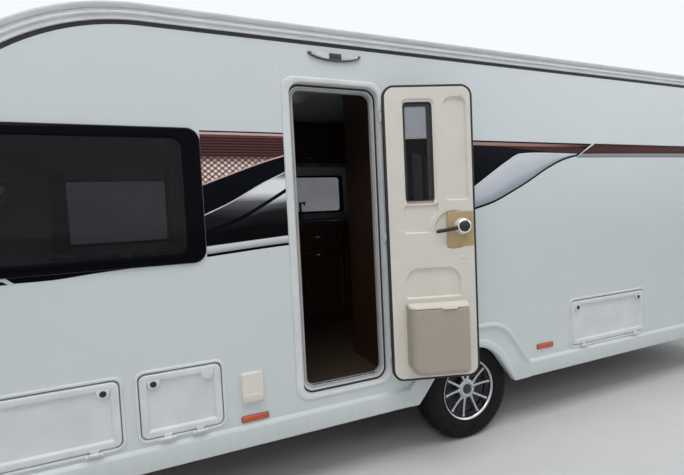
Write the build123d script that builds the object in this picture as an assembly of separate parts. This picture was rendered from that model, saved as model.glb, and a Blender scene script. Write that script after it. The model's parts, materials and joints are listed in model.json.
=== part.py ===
from build123d import *
import math
import os

# A single-axle travel caravan with its entrance door standing open, sizes in mm.
# All places below count x forward from the axle, y to the nearside and z up from the ground.
# When a piece is saved it moves to the part's own frame, whose origin is the centre of the tow ball.
BALL_AHEAD = 4350
BALL_HEIGHT = 430

# Body
HALF_WIDTH = 1110        # outer face of each side wall
WALL = 32                # sandwich wall
SKIN = 30                # roof, front and rear panels
WALL_FOOT = 400          # lower edge of the walls, a skin's thickness below the floor
SKIRT_FOOT = 342         # lower edge of the skirts
SKIRT_TOP = 458
ROOF_TOP = 2487
FRONT_X = 3190           # foremost point of the body, at the waist
REAR_X = -2930
WAIST = 1150
BROW_DROP = 579          # from the roof down to where the front turns upright
FLOOR_UNDER = 430
FLOOR_TOP = 472
ROOF_JOINT_FRONT = 1750  # where the roof sheet meets the front panel
ROOF_JOINT_REAR = -2560
FACE = HALF_WIDTH + 8    # outer face of doors and of the frames round them
RAIL_DEEP = 74
RAIL_FACE = HALF_WIDTH + 24
BEYOND = 6000            # past the whole body, for cuts that run right through
SEAM = 0.3               # between boards or sheets that meet

# Side outline of the body: x, z, corner radius
BODY = (
    (FRONT_X - 60, WALL_FOOT, 30),
    (FRONT_X, WAIST, 600),
    (FRONT_X - 318, ROOF_TOP - BROW_DROP, 900),
    (FRONT_X - 1008, ROOF_TOP, 1050),
    (REAR_X + 70, ROOF_TOP, 260),
    (REAR_X, WAIST, 2500),
    (REAR_X + 40, WALL_FOOT, 30),
)

# Wheels
TYRE_RADIUS = 325
TYRE_WIDE = 185
BEAD_RADIUS = 178
FLANGE_RADIUS = BEAD_RADIUS + 18
TYRE_OUTER_Y = HALF_WIDTH - 38
TYRE_INNER_Y = TYRE_OUTER_Y - TYRE_WIDE
RIM_INNER_Y = TYRE_INNER_Y + 6
RIM_OUTER_Y = TYRE_OUTER_Y - 6
HUB_FACE = RIM_OUTER_Y - 20
DRUM_FACE = RIM_OUTER_Y - 126
STUB_RADIUS = 16
RUNNING_FIT = 0.06
SPOKE_PAIRS = 5
SPOKE_LEAN = 13          # degrees between each spoke and the middle of its pair

# Wheel opening and the spat round it, in x and z: rows of corners with their radii
ARCH_TOP = 2 * TYRE_RADIUS - 33
ARCH = ((-366, 300, 0), (-135, ARCH_TOP, 250), (178, ARCH_TOP, 250), (452, 300, 0))
SPAT_TOP = ARCH_TOP + 145
SPAT = (
    (-470, SKIRT_FOOT, 0),
    (-470, SKIRT_TOP, 0),
    (-257, SPAT_TOP, 250),
    (257, SPAT_TOP, 250),
    (470, SKIRT_TOP, 0),
    (470, SKIRT_FOOT, 0),
)
SPAT_PLATE = 12
SPAT_RIDGE = (36, 26)    # width and height of the ridge round the spat
SPAT_LIP = (46, 20)      # the same of the lip round the wheel opening

# Entrance door: the leaf is drawn closed and then swung about its hinge
DOOR_AXIS_X = 606
AXIS_OUT = 12            # hinge axes lie this far outside the face
DOOR_AXIS_Y = FACE + AXIS_OUT
DOOR_OPENED = 162.3      # degrees from closed, as it stands
LEAF_WIDE = 503
LEAF_FOOT = 541
LEAF_TOP = ROOF_TOP - 297
LEAF_THICK = 38
LEAF_RADIUS = 62
EDGE_TO_AXIS = 8
DOOR_GAP = 8
DOOR_FRAME = (DOOR_AXIS_X - 21, DOOR_AXIS_X + LEAF_WIDE + 56, LEAF_FOOT - 29, LEAF_TOP + 38)
FRAME_RADIUS = 75
LINER_FACE = FACE - LEAF_THICK - 6

# Hinges: pin, barrel and plates
PIN_RADIUS = 4
BARREL_RADIUS = 7
HINGE_LONG = 70
HINGE_LUG = 14
LUG_LET_IN = 2           # fixed lugs are let into the face by this much

# Waste bin inside the door: from the hinge edge, to, foot, top, depth, sheet
DOOR_BIN = (85, 425, 590, 960, 95, 6)
BIN_CHAMFER = 34

# Locker doors: name, x rear, x front, z foot, z top, side (1 nearside, -1 offside)
LOCKERS = (
    ("front_locker", 1980, 2660, 475, 817, 1),
    ("middle_locker", 1530, 1935, 478, 820, 1),
    ("rear_locker", -1690, -865, 465, 822, 1),
    ("cassette", -2350, -1930, 475, 830, -1),
)
LOCKER_RING = 14
LOCKER_LEAF = 20
LOCKER_GAP = 5
LOCKER_TOP_GAP = 8
LOCKER_RADIUS = 45

# Side windows: x rear, x front, z foot, z top, corner radius, side
WINDOW_TOP = ROOF_TOP - 545
SIDE_WINDOWS = (
    (1580, 2640, 1303, WINDOW_TOP, 60, 1),
    (1580, 2640, 1303, WINDOW_TOP, 60, -1),
    (-150, 650, 1500, WINDOW_TOP + 18, 50, -1),
    (-2480, -2080, 1500, WINDOW_TOP, 50, -1),
)
BORDER_X = 85
BORDER_Z = 50
BORDER_THICK = 14
# Windows in the front and rear panels: y from, y to, z foot, z top, end (1 front, -1 rear)
FRONT_WINDOW_TOP = ROOF_TOP - 587
END_WINDOWS = (
    (-400, 400, 1240, FRONT_WINDOW_TOP, 1),
    (450, HALF_WIDTH - 110, 1240, FRONT_WINDOW_TOP, 1),
    (110 - HALF_WIDTH, -450, 1240, FRONT_WINDOW_TOP, 1),
    (-450, 450, 1380, FRONT_WINDOW_TOP - 20, -1),
)
END_BORDER = 50
SUNROOF = (FRONT_X - 1110, FRONT_X - 590, -400, 400)
# Rooflights: centre x, centre y, long, wide
ROOFLIGHTS = (
    (ROOF_JOINT_FRONT - 800, 0, 700, 500),
    (ROOF_JOINT_REAR + 1060, 0, 400, 400),
    (ROOF_JOINT_REAR + 310, -600, 280, 280),
)
ROOFLIGHT_TALL = 120

# Front gas locker lid
GAS_FOOT = 560
GAS_TOP = 954
GAS_HALF = 700
GAS_GAP = 8

# Box over each wheel, inside the cabin: half length, inner y, top, sheet
WHEEL_BOX = (TYRE_RADIUS + 65, TYRE_INNER_Y - 49, 2 * TYRE_RADIUS + 50, 12)

# Chassis
MEMBER_FOOT = 300
MEMBER_Y = TYRE_INNER_Y - 187    # inner face of each long member, clear of the trailing arms
MEMBER_WIDE = 50
MEMBER_REAR = -2550
MEMBER_FRONT = 2700
CROSS_MEMBERS = (MEMBER_REAR + 50, -1250, 1400, MEMBER_FRONT - 100)
AXLE_TUBE = (150, 245)   # x and z of the axle tube, ahead of and below the wheel centre

# A-frame: outer face at its rear end and at its nose
A_FRAME_FOOT = MEMBER_FOOT + 45
A_FRAME_TOP = FLOOR_UNDER - 5
A_FRAME_NOSE = (BALL_AHEAD - 190, 75)
A_FRAME_INNER_NOSE = (BALL_AHEAD - 320, 50)

# Jockey wheel on the A-frame
JOCKEY_X = BALL_AHEAD - 350
JOCKEY_OFF = 108         # from the A-frame's side to the leg
JOCKEY_WHEEL = 100
JOCKEY_TRAIL = 40
JOCKEY_TUBE = 22
JOCKEY_PIVOT = 12
CLAMP_FOOT = 380
CLAMP_TOP = 760
FORK_FOOT = 212
FORK_TOP = 222

# Corner steadies: name, x of pivot, side, direction in which the raised arm points
STEADIES = (
    ("front_nearside", MEMBER_FRONT - 50, 1, -1),
    ("front_offside", MEMBER_FRONT - 50, -1, -1),
    ("rear_nearside", MEMBER_REAR + 100, 1, 1),
    ("rear_offside", MEMBER_REAR + 100, -1, 1),
)
STEADY_ARM = 300
STEADY_Z = 262
STEADY_Y = MEMBER_Y + 100

# Inside: kitchen on the offside, seats in front, cupboards behind
ROOM_EDGE = HALF_WIDTH - WALL
KITCHEN = (-250, 1350)   # x rear, x front
KITCHEN_Y = 580 - HALF_WIDTH
WORKTOP_UNDER = 1407
WORKTOP_TOP = WORKTOP_UNDER + 40
BASIN = (240, 620, 138, 458, 60)    # x rear, x front, from the wall, to, corner radius
SEATS = ((1, 1300), (-1, 1450))     # side and rear end of each long seat
SEATS_FRONT = FRONT_X - 500
SEAT_Y = 420
SEAT_TOP = 840
CUSHION = 120
BACKREST = 108
BACKREST_TOP = SEAT_TOP + 450
CHEST = (SEATS_FRONT + 16, 1016, 16)    # x, top and sheet of the chest in the nose
NEAR_HIGH = (1300, 2000, HALF_WIDTH - 350)
PARTITION = (DOOR_FRAME[0] - 105, 380, 18)    # x, inner edge, sheet
CUPBOARD_TOP = 930       # cupboards behind the rear locker and round the toilet cassette
CUPBOARD_Y = HALF_WIDTH - 510
OVERHEAD_FOOT = ROOF_TOP - 467
OVERHEAD_TOP = ROOF_TOP - 87
BULKHEAD_X = -1740
SHEET = 15

# Fridge vents: x rear, x front, feet, height
VENTS = (-760, -260, (720, 1180), 260)
VENT_SLOTS = 7
# Fairing over the A-frame: foot, sheet
FAIRING = (A_FRAME_TOP + 25, 16)


def outline(corners):
    """Face in a flat plane from rows of a, b and corner radius."""
    rounds = []
    for i, (a, b, radius) in enumerate(corners):
        here = Vector(a, b)
        back = (Vector(*corners[i - 1][:2]) - here).normalized()
        ahead = (Vector(*corners[(i + 1) % len(corners)][:2]) - here).normalized()
        if not radius:
            rounds.append((here, here, here))
            continue
        half = math.radians(back.get_angle(ahead)) / 2
        inward = (back + ahead).normalized()
        reach = radius / math.tan(half)
        middle = here + inward * (radius / math.sin(half) - radius)
        rounds.append((here + back * reach, middle, here + ahead * reach))
    edges = []
    for i, (start, middle, end) in enumerate(rounds):
        following = rounds[(i + 1) % len(rounds)][0]
        if start != end:
            edges.append(ThreePointArc(start, middle, end))
        if (following - end).length > 0.01:
            edges.append(Line(end, following))
    face = Face(Wire(edges))
    return face if face.normal_at().Z > 0 else -face


def rectangle(a0, a1, b0, b1, radius=0):
    """Rounded rectangle between two values of each coordinate."""
    return outline([(a, b, radius) for a, b in ((a0, b0), (a1, b0), (a1, b1), (a0, b1))])


def across(face, y0, y1):
    """Face drawn in x and z, made solid from y0 to y1."""
    low, high = sorted((y0, y1))
    return Plane(origin=(0, high, 0), x_dir=(1, 0, 0), z_dir=(0, -1, 0)) * extrude(face, high - low)


def along(face, x0, x1):
    """Face drawn in y and z, made solid from x0 to x1."""
    return Plane(origin=(x0, 0, 0), x_dir=(0, 1, 0), z_dir=(1, 0, 0)) * extrude(face, x1 - x0)


def upright(face, z0, z1):
    """Face drawn in x and y, made solid from z0 to z1."""
    return Pos(0, 0, z0) * extrude(face, z1 - z0)


def block(x0, x1, y0, y1, z0, z1):
    """Box between two values of each coordinate."""
    return Pos((x0 + x1) / 2, (y0 + y1) / 2, (z0 + z1) / 2) * Box(abs(x1 - x0), abs(y1 - y0), abs(z1 - z0))


def rod_y(x, z, radius, y0, y1):
    """Round bar along y."""
    return across(Pos(x, z) * Circle(radius).face(), y0, y1)


def rod_z(x, y, radius, z0, z1):
    """Round bar along z."""
    return upright(Pos(x, y) * Circle(radius).face(), z0, z1)


def rod_x(y, z, radius, x0, x1):
    """Round bar along x."""
    return along(Pos(y, z) * Circle(radius).face(), x0, x1)


def other_side(shape):
    """The same piece on the offside."""
    return mirror(shape, about=Plane.XZ)


def group(solids):
    """Several loose solids as one node."""
    found = []
    for shape in solids:
        found.extend(shape.solids())
    return Compound(found)


def hinge(place, inboard):
    """Fixed lugs with their pin, and the moving barrel, round the local z axis.

    The moving plate lies towards local x, and inboard is 1 or -1 along local y.
    """
    near, far = sorted((inboard * BARREL_RADIUS * 0.5, inboard * AXIS_OUT))
    low, high = sorted((inboard * BARREL_RADIUS * 0.5, inboard * (AXIS_OUT + LUG_LET_IN)))
    fixed = Cylinder(PIN_RADIUS, HINGE_LONG)
    for end in (-1, 1):
        height = end * (HINGE_LONG - HINGE_LUG) / 2
        fixed += Pos(0, 0, height) * Cylinder(BARREL_RADIUS, HINGE_LUG)
        fixed += Pos(-6, (low + high) / 2, height) * Box(12, high - low, HINGE_LUG)
    barrel = HINGE_LONG - 2 * HINGE_LUG - 4
    moving = Cylinder(BARREL_RADIUS, barrel)
    moving += Pos(EDGE_TO_AXIS + 3, (near + far) / 2, 0) * Box(14, far - near, barrel)
    moving += Pos(6, inboard * 3, 0) * Box(8, 5, barrel)
    moving -= Cylinder(PIN_RADIUS + RUNNING_FIT, barrel)
    return place * fixed, place * moving


def body_faces():
    """Outer outline of the body and the outline of the room inside its skin."""
    outer = outline(BODY)
    inner = offset(outer, amount=-SKIN).face()
    return outer, inner


def front_x(z):
    """Outer face of the straight lower front at height z."""
    (x0, z0, _), (x1, z1, _) = BODY[0], BODY[1]
    return x0 + (x1 - x0) * (z - z0) / (z1 - z0)


def side_wall(outer, side):
    """One side wall with its windows, lockers, doorway and wheel arch cut.

    On the door side it is four sheets, with seams above and below the door frame.
    """
    wall = across(outer, HALF_WIDTH - WALL, HALF_WIDTH)
    through = (HALF_WIDTH - WALL - 10, HALF_WIDTH + 10)
    wall -= across(outline(ARCH), *through)
    for x0, x1, z0, z1, radius, where in SIDE_WINDOWS:
        if where == side:
            wall -= across(rectangle(x0 + 40, x1 - 40, z0 + 30, z1 - 30, radius - 20), *through)
    for _, x0, x1, z0, z1, where in LOCKERS:
        if where == side:
            wall -= across(rectangle(x0, x1, z0, z1, LOCKER_RADIUS), *through)
    if side == -1:
        return other_side(wall)
    wall -= across(door_frame_outline(), *through)
    for x in DOOR_FRAME[:2]:
        wall -= block(x - SEAM / 2, x + SEAM / 2, *through, 0, BEYOND)
    return group([wall])


def door_frame_outline():
    """Outer edge of the entrance door frame."""
    return rectangle(*DOOR_FRAME, FRAME_RADIUS)


def door_frame():
    """Entrance door frame with its rebate, liner, sill and fixed hinge lugs."""
    leaf0 = DOOR_AXIS_X + EDGE_TO_AXIS
    leaf1 = leaf0 + LEAF_WIDE
    rebate = rectangle(leaf0 - 6, leaf1 + DOOR_GAP, LEAF_FOOT - DOOR_GAP, LEAF_TOP + DOOR_GAP, LEAF_RADIUS + 6)
    clear = rectangle(leaf0 + 24, leaf1 - 20, LEAF_FOOT + 30, LEAF_TOP - 20, 50)
    inside = HALF_WIDTH - WALL - 14
    frame = across(door_frame_outline(), inside, FACE)
    frame -= across(rebate, LINER_FACE, BEYOND)
    frame -= across(clear, inside - 1, BEYOND)
    for fixed, _ in door_hinges():
        frame += fixed
    return frame


def door_hinges():
    """Fixed and moving halves of the entrance door's hinges, door closed."""
    heights = (LEAF_FOOT + 149, (LEAF_FOOT + LEAF_TOP) / 2, LEAF_TOP - 150)
    places = [Plane(origin=(DOOR_AXIS_X, DOOR_AXIS_Y, z), x_dir=(1, 0, 0)) for z in heights]
    return [hinge(place.location, -1) for place in places]


def swung(shape):
    """A piece of the closed entrance door, swung to where it stands."""
    axis = Axis((DOOR_AXIS_X, DOOR_AXIS_Y, 0), (0, 0, 1))
    return shape.rotate(axis, DOOR_OPENED)


def door_bin_pieces(leaf0, inner):
    """Waste bin on the closed door's inner face, and its lid hinged at the door."""
    d0, d1, foot, top, deep, sheet = DOOR_BIN
    x0, x1, out = leaf0 + d0, leaf0 + d1, inner - deep
    plan = outline((
        (x0, inner, 0),
        (x0, out + BIN_CHAMFER, 8),
        (x0 + BIN_CHAMFER, out, 8),
        (x1 - 16, out, 8),
        (x1, out + 16, 8),
        (x1, inner, 0),
    ))
    front = across(rectangle(x0, x1, foot, top + 200, 30), out, inner)
    body = upright(plan, foot, top) & front
    hollow = offset(plan, amount=-sheet).face()
    body -= upright(hollow, foot + sheet, top + 1) & across(rectangle(x0, x1, foot + sheet, top + 200, 26), out, inner)
    axis_z = top + 12
    axis_y = inner - 12
    for x in (x0, x1 - 25):
        body += block(x, x + 25, inner - 16, inner, top - 10, top + 18)
    body += rod_x(axis_y, axis_z, PIN_RADIUS, x0 + 15, x1 - 15)
    lid = upright(plan, top + 8, top + 20)
    lid -= block(x0 - 1, x1 + 1, inner - 24, inner + 1, top, top + 30)
    lid += rod_x(axis_y, axis_z, BARREL_RADIUS, x0 + 31, x1 - 31)
    lid += block(x0 + 31, x1 - 31, inner - 40, inner - 12, top + 8, top + 16)
    lip = (x0 + x1) / 2
    lid += block(lip - 45, lip + 45, out - 10, out + 5, top + 8, top + 16)
    lid -= rod_x(axis_y, axis_z, PIN_RADIUS + RUNNING_FIT, x0 - 5, x1 + 5)
    return body, lid


def door_pieces():
    """Leaf, window, bin, bin lid and handles of the entrance door."""
    leaf0 = DOOR_AXIS_X + EDGE_TO_AXIS
    inner = FACE - LEAF_THICK
    leaf = across(rectangle(leaf0, leaf0 + LEAF_WIDE, LEAF_FOOT, LEAF_TOP, LEAF_RADIUS), inner, FACE)
    window = (leaf0 + 113, leaf0 + 272, 1551, LEAF_TOP - 91)
    leaf -= across(rectangle(*window, 22), inner - 1, BEYOND)
    # Recesses in the inner face: from the hinge edge, to, foot, top, radius
    for d0, d1, z0, z1, radius in (
        (341, 469, 1551, LEAF_TOP - 62, 25),
        (107, 300, 1374, 1535, 30),
        (345, 488, 1300, 1490, 60),
        (90, 410, 1005, 1178, 70),
    ):
        leaf -= across(rectangle(leaf0 + d0, leaf0 + d1, z0, z1, radius), inner - 1, inner + 9)
    for _, moving in door_hinges():
        leaf += moving
    pane = across(rectangle(*window, 22), inner + 8, FACE - 8)
    bin_body, bin_lid = door_bin_pieces(leaf0, inner)
    knob = (leaf0 + 443, 1405)
    handle = rod_y(*knob, 34, inner + 9, inner - 10) + rod_y(*knob, 24, inner - 10, inner - 42)
    corners = (
        (leaf0 + 372, 1306, 20), (leaf0 + 486, 1306, 60),
        (leaf0 + 486, 1484, 60), (leaf0 + 372, 1484, 20),
    )
    handle += across(outline(corners), inner + 3, inner + 9)
    handle += block(knob[0] - 95, knob[0], inner - 38, inner - 24, knob[1] - 22, knob[1] - 4)
    outside = across(rectangle(leaf0 + 395, leaf0 + 485, 1330, 1450, 20), FACE, FACE + 16)
    return {
        "door_leaf": swung(leaf),
        "door_window": swung(pane),
        "door_bin": swung(bin_body),
        "door_bin_lid": swung(bin_lid),
        "door_handles": group([swung(handle), swung(outside)]),
    }


def locker_pieces():
    """Fixed frames of the side lockers and their bottom-hinged doors."""
    rings = []
    doors = {}
    for name, x0, x1, z0, z1, side in LOCKERS:
        rebate = [x0 + LOCKER_RING, x1 - LOCKER_RING, z0 + LOCKER_RING, z1 - LOCKER_RING]
        ring = across(rectangle(x0, x1, z0, z1, LOCKER_RADIUS), HALF_WIDTH - WALL, FACE)
        ring -= across(rectangle(*rebate, LOCKER_RADIUS - 12), HALF_WIDTH - WALL - 1, BEYOND)
        leaf_x0 = rebate[0] + LOCKER_GAP
        leaf_x1 = rebate[1] - LOCKER_GAP
        foot = rebate[2] + LOCKER_GAP
        top = rebate[3] - LOCKER_TOP_GAP
        door = across(rectangle(leaf_x0, leaf_x1, foot, top, 30), FACE - LOCKER_LEAF, FACE)
        inset = rectangle(leaf_x0 + 30, leaf_x1 - 30, foot + 26, top - 26, 18)
        door -= across(inset, FACE - 6, FACE + 1)
        for x in (leaf_x0 + 62, leaf_x1 - 62):
            door += rod_y(x, top - 40, 22, FACE - 6, FACE + 3)
        for x in (x0 + 130, x1 - 130):
            place = Plane(origin=(x, FACE + AXIS_OUT, foot - EDGE_TO_AXIS), x_dir=(0, 0, 1), z_dir=(1, 0, 0))
            fixed, moving = hinge(place.location, 1)
            ring += fixed
            door += moving
        rings.append(ring if side == 1 else other_side(ring))
        doors[name + "_door"] = door if side == 1 else other_side(door)
    return rings, doors


def gas_axis(y):
    """Plane on the gas locker lid's hinge axis, its x down the slope of the front panel."""
    down = Vector(front_x(0) - front_x(1), 0, -1).normalized()
    outward = Vector(-down.Z, 0, down.X)
    top = GAS_TOP + EDGE_TO_AXIS
    return Plane(origin=Vector(front_x(top), y, top) + outward * AXIS_OUT, x_dir=down, z_dir=(0, 1, 0))


def gas_lid_pieces(shell):
    """Cut for the gas locker in the front panel, its fixed lugs and its top-hinged lid."""
    reach = (FRONT_X - 190, BEYOND)
    cut = block(*reach, -GAS_HALF - GAS_GAP, GAS_HALF + GAS_GAP, GAS_FOOT - GAS_GAP, GAS_TOP + GAS_GAP)
    lid = shell & block(*reach, -GAS_HALF, GAS_HALF, GAS_FOOT, GAS_TOP)
    lugs = []
    for y in (250 - GAS_HALF, GAS_HALF - 250):
        fixed, moving = hinge(gas_axis(y).location, 1)
        lugs.append(fixed)
        lid += moving
    return cut, lugs, lid


def end_window_pieces(outer):
    """Panes and borders that follow the front, the rear and the sunroof, and their cuts."""
    pane_band = across(offset(outer, amount=12).face(), -HALF_WIDTH, HALF_WIDTH)
    pane_band -= across(outer, -HALF_WIDTH - 1, HALF_WIDTH + 1)
    steps = (0, END_BORDER - 20, END_BORDER)
    places = []
    for y0, y1, z0, z1, end in END_WINDOWS:
        x0, x1 = (SUNROOF[0], BEYOND) if end == 1 else (-BEYOND, ROOF_JOINT_REAR)
        places.append([along(rectangle(y0 + g, y1 - g, z0 + g, z1 - g, 60 - g / 2), x0, x1) for g in steps])
    x0, x1, y0, y1 = SUNROOF
    foot, top = ROOF_TOP - BROW_DROP, ROOF_TOP + 100
    places.append([upright(rectangle(x0 + g, x1 - g, y0 + g, y1 - g, 60 - g / 2), foot, top) for g in steps])
    cuts, panes, borders = [], [], []
    for whole, cut, clear in places:
        cuts.append(cut)
        borders.append((pane_band & whole) - clear)
        panes.append(pane_band & clear)
    return cuts, panes, borders


def side_window_pieces():
    """Panes and dark borders of the side windows."""
    panes, borders = [], []
    for x0, x1, z0, z1, radius, side in SIDE_WINDOWS:
        clear = rectangle(x0 + BORDER_X, x1 - BORDER_X, z0 + BORDER_Z, z1 - BORDER_Z, radius - 15)
        border = across(rectangle(x0, x1, z0, z1, radius), HALF_WIDTH, HALF_WIDTH + BORDER_THICK)
        border -= across(clear, HALF_WIDTH - 1, BEYOND)
        pane = across(clear, HALF_WIDTH + 1, HALF_WIDTH + BORDER_THICK - 2)
        panes.append(pane if side == 1 else other_side(pane))
        borders.append(border if side == 1 else other_side(border))
    return panes, borders


def edge_rails(outer):
    """Moulding that caps the joint of each side wall with roof, front and rear."""
    # Lines of the moulding: share of its depth where each begins and ends, height
    lines = ((0, 0.34, RAIL_FACE - HALF_WIDTH), (0.34, 0.5, 10), (0.5, 0.72, 18), (0.72, 1, 9))
    rail = None
    for start, end, height in lines:
        outside = offset(outer, amount=-RAIL_DEEP * start).face() if start else outer
        inside = offset(outer, amount=-RAIL_DEEP * end).face()
        line = across(outside, HALF_WIDTH, HALF_WIDTH + height) - across(inside, HALF_WIDTH - 1, BEYOND)
        rail = line if rail is None else rail + line
    rail -= block(-BEYOND, BEYOND, HALF_WIDTH - 10, RAIL_FACE + 10, 0, SKIRT_TOP)
    rail -= across(rectangle(REAR_X + 100, FRONT_X - 130, 0, WAIST - 250), HALF_WIDTH - 10, BEYOND)
    return group([rail, other_side(rail)])


def side_skirts():
    """Skirt mouldings, each with the ridged spat over its wheel."""
    face = outline((
        (HALF_WIDTH, SKIRT_FOOT, 0),
        (HALF_WIDTH + 14, SKIRT_FOOT, 4),
        (HALF_WIDTH + 16, SKIRT_TOP - 18, 3),
        (HALF_WIDTH + 2, SKIRT_TOP, 0),
        (HALF_WIDTH, SKIRT_TOP, 0),
    ))
    skirt = along(face, REAR_X + 60, FRONT_X - 90)
    spat = outline(SPAT)
    arch = outline(ARCH)
    plate = across(spat, HALF_WIDTH, HALF_WIDTH + SPAT_PLATE)
    ridge_wide, ridge_high = SPAT_RIDGE
    crest = (HALF_WIDTH, HALF_WIDTH + ridge_high)
    ridge = across(spat, *crest) - across(offset(spat, amount=-ridge_wide).face(), HALF_WIDTH - 1, BEYOND)
    ridge -= block(-BEYOND, BEYOND, HALF_WIDTH - 1, BEYOND, 0, SKIRT_FOOT + ridge_wide)
    lip_wide, lip_high = SPAT_LIP
    lip = across(offset(arch, amount=lip_wide).face(), HALF_WIDTH, HALF_WIDTH + lip_high)
    lip -= block(-BEYOND, BEYOND, HALF_WIDTH - 1, BEYOND, 0, SKIRT_FOOT)
    skirt += plate
    skirt += ridge
    skirt += lip
    skirt -= across(arch, HALF_WIDTH - 10, BEYOND)
    return group([skirt, other_side(skirt)])


def floor_panel(inner):
    """Floor sandwich with a box over each wheel."""
    room = across(inner, -ROOM_EDGE, ROOM_EDGE)
    floor = room & block(-BEYOND, BEYOND, -HALF_WIDTH, HALF_WIDTH, FLOOR_UNDER, FLOOR_TOP)
    floor -= across(door_frame_outline(), ROOM_EDGE - 14, HALF_WIDTH)
    long, inner_y, top, sheet = WHEEL_BOX
    for side in (-1, 1):
        outer_box = sorted((side * (inner_y - sheet), side * ROOM_EDGE))
        clear_box = sorted((side * inner_y, side * ROOM_EDGE))
        floor += block(-long - sheet, long + sheet, *outer_box, FLOOR_TOP, top + sheet)
        floor -= block(-long, long, *clear_box, FLOOR_UNDER - 1, top)
    return floor


def a_frame_side(x):
    """Distance of the A-frame's outer face from the middle at x."""
    rear = MEMBER_Y + MEMBER_WIDE + 2
    nose_x, nose_y = A_FRAME_NOSE
    return nose_y + (rear - nose_y) * (nose_x - x) / (nose_x - MEMBER_FRONT)


def a_frame_solid():
    """Outer form of the A-frame, from the long members to the coupling."""
    nose_x, nose_y = A_FRAME_NOSE
    rear = a_frame_side(MEMBER_FRONT)
    outer = outline(((MEMBER_FRONT, rear, 0), (nose_x, nose_y, 0), (nose_x, -nose_y, 0), (MEMBER_FRONT, -rear, 0)))
    return upright(outer, A_FRAME_FOOT, A_FRAME_TOP)


def a_frame():
    """Two drawbar arms that meet under the coupling."""
    nose_x, nose_y = A_FRAME_INNER_NOSE
    inner = outline((
        (MEMBER_FRONT, MEMBER_Y, 0),
        (nose_x, nose_y, 0),
        (nose_x, -nose_y, 0),
        (MEMBER_FRONT, -MEMBER_Y, 0),
    ))
    return a_frame_solid() - upright(inner, A_FRAME_FOOT - 1, A_FRAME_TOP + 1)


def chassis():
    """Two long members with their cross members."""
    frame = None
    for side in (-1, 1):
        ys = sorted((side * MEMBER_Y, side * (MEMBER_Y + MEMBER_WIDE)))
        member = block(MEMBER_REAR, MEMBER_FRONT, *ys, MEMBER_FOOT, FLOOR_UNDER)
        frame = member if frame is None else frame + member
    for x in CROSS_MEMBERS:
        frame += block(x - 25, x + 25, -MEMBER_Y, MEMBER_Y, MEMBER_FOOT + 20, FLOOR_UNDER - 20)
    return frame


def axle():
    """Six-sided axle tube, trailing arms, brake drums and stubs."""
    tube_x, tube_z = AXLE_TUBE
    arm_face = WHEEL_BOX[1] + 5
    hexagon = Pos(tube_x, tube_z) * RegularPolygon(60, 6).face()
    beam = across(hexagon, 20 - arm_face, arm_face - 20)
    arm = outline((
        (tube_x + 45, tube_z - 45, 20),
        (tube_x + 45, tube_z + 45, 20),
        (-45, TYRE_RADIUS + 40, 20),
        (-45, TYRE_RADIUS - 40, 20),
    ))
    for side in (-1, 1):
        beam += across(arm, side * (arm_face - 40), side * arm_face)
        beam += rod_y(0, TYRE_RADIUS, 118, side * arm_face, side * DRUM_FACE)
        beam += rod_y(0, TYRE_RADIUS, STUB_RADIUS, side * DRUM_FACE, side * (HUB_FACE - 16))
        bracket = sorted((side * (MEMBER_Y - 10), side * MEMBER_Y))
        beam += block(tube_x - 60, tube_x + 60, *bracket, tube_z, MEMBER_FOOT + 100)
    return beam


def wheel_pieces():
    """Tyre and alloy rim of the nearside wheel."""
    wheel_axis = Axis((0, 0, TYRE_RADIUS), (0, 1, 0))
    shoulder = TYRE_RADIUS - 40
    section = outline((
        (RIM_INNER_Y + 9, BEAD_RADIUS, 0),
        (RIM_OUTER_Y - 9, BEAD_RADIUS, 0),
        (RIM_OUTER_Y - 9, FLANGE_RADIUS + 4, 2),
        (TYRE_OUTER_Y, FLANGE_RADIUS + 22, 16),
        (TYRE_OUTER_Y, shoulder, 50),
        (TYRE_OUTER_Y - 30, TYRE_RADIUS, 16),
        (TYRE_INNER_Y + 30, TYRE_RADIUS, 16),
        (TYRE_INNER_Y, shoulder, 50),
        (TYRE_INNER_Y, FLANGE_RADIUS + 22, 16),
        (RIM_INNER_Y + 9, FLANGE_RADIUS + 4, 2),
    ))
    upward = Plane(origin=(0, 0, TYRE_RADIUS), x_dir=(0, 1, 0), z_dir=(1, 0, 0))
    tyre = revolve(upward * section, axis=wheel_axis)
    well = outline((
        (RIM_INNER_Y, BEAD_RADIUS - 7, 0),
        (RIM_OUTER_Y, BEAD_RADIUS - 7, 0),
        (RIM_OUTER_Y, FLANGE_RADIUS, 3),
        (RIM_OUTER_Y - 9, FLANGE_RADIUS, 3),
        (RIM_OUTER_Y - 9, BEAD_RADIUS, 0),
        (RIM_INNER_Y + 9, BEAD_RADIUS, 0),
        (RIM_INNER_Y + 9, FLANGE_RADIUS, 3),
        (RIM_INNER_Y, FLANGE_RADIUS, 3),
    ))
    rim = revolve(upward * well, axis=wheel_axis)
    rim += rod_y(0, TYRE_RADIUS, 62, HUB_FACE - 46, HUB_FACE)
    rim += rod_y(0, TYRE_RADIUS, 30, HUB_FACE, HUB_FACE + 8)
    bar = outline((
        (-15, TYRE_RADIUS + 40, 0),
        (15, TYRE_RADIUS + 40, 0),
        (10, TYRE_RADIUS + BEAD_RADIUS - 3, 0),
        (-10, TYRE_RADIUS + BEAD_RADIUS - 3, 0),
    ))
    spoke = across(bar, HUB_FACE - 18, HUB_FACE + 10)
    for pair in range(SPOKE_PAIRS):
        for lean in (-SPOKE_LEAN, SPOKE_LEAN):
            rim += spoke.rotate(wheel_axis, 360 / SPOKE_PAIRS * pair + lean)
    rim -= rod_y(0, TYRE_RADIUS, STUB_RADIUS + RUNNING_FIT, HUB_FACE - 56, HUB_FACE - 10)
    return tyre, rim


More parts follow.
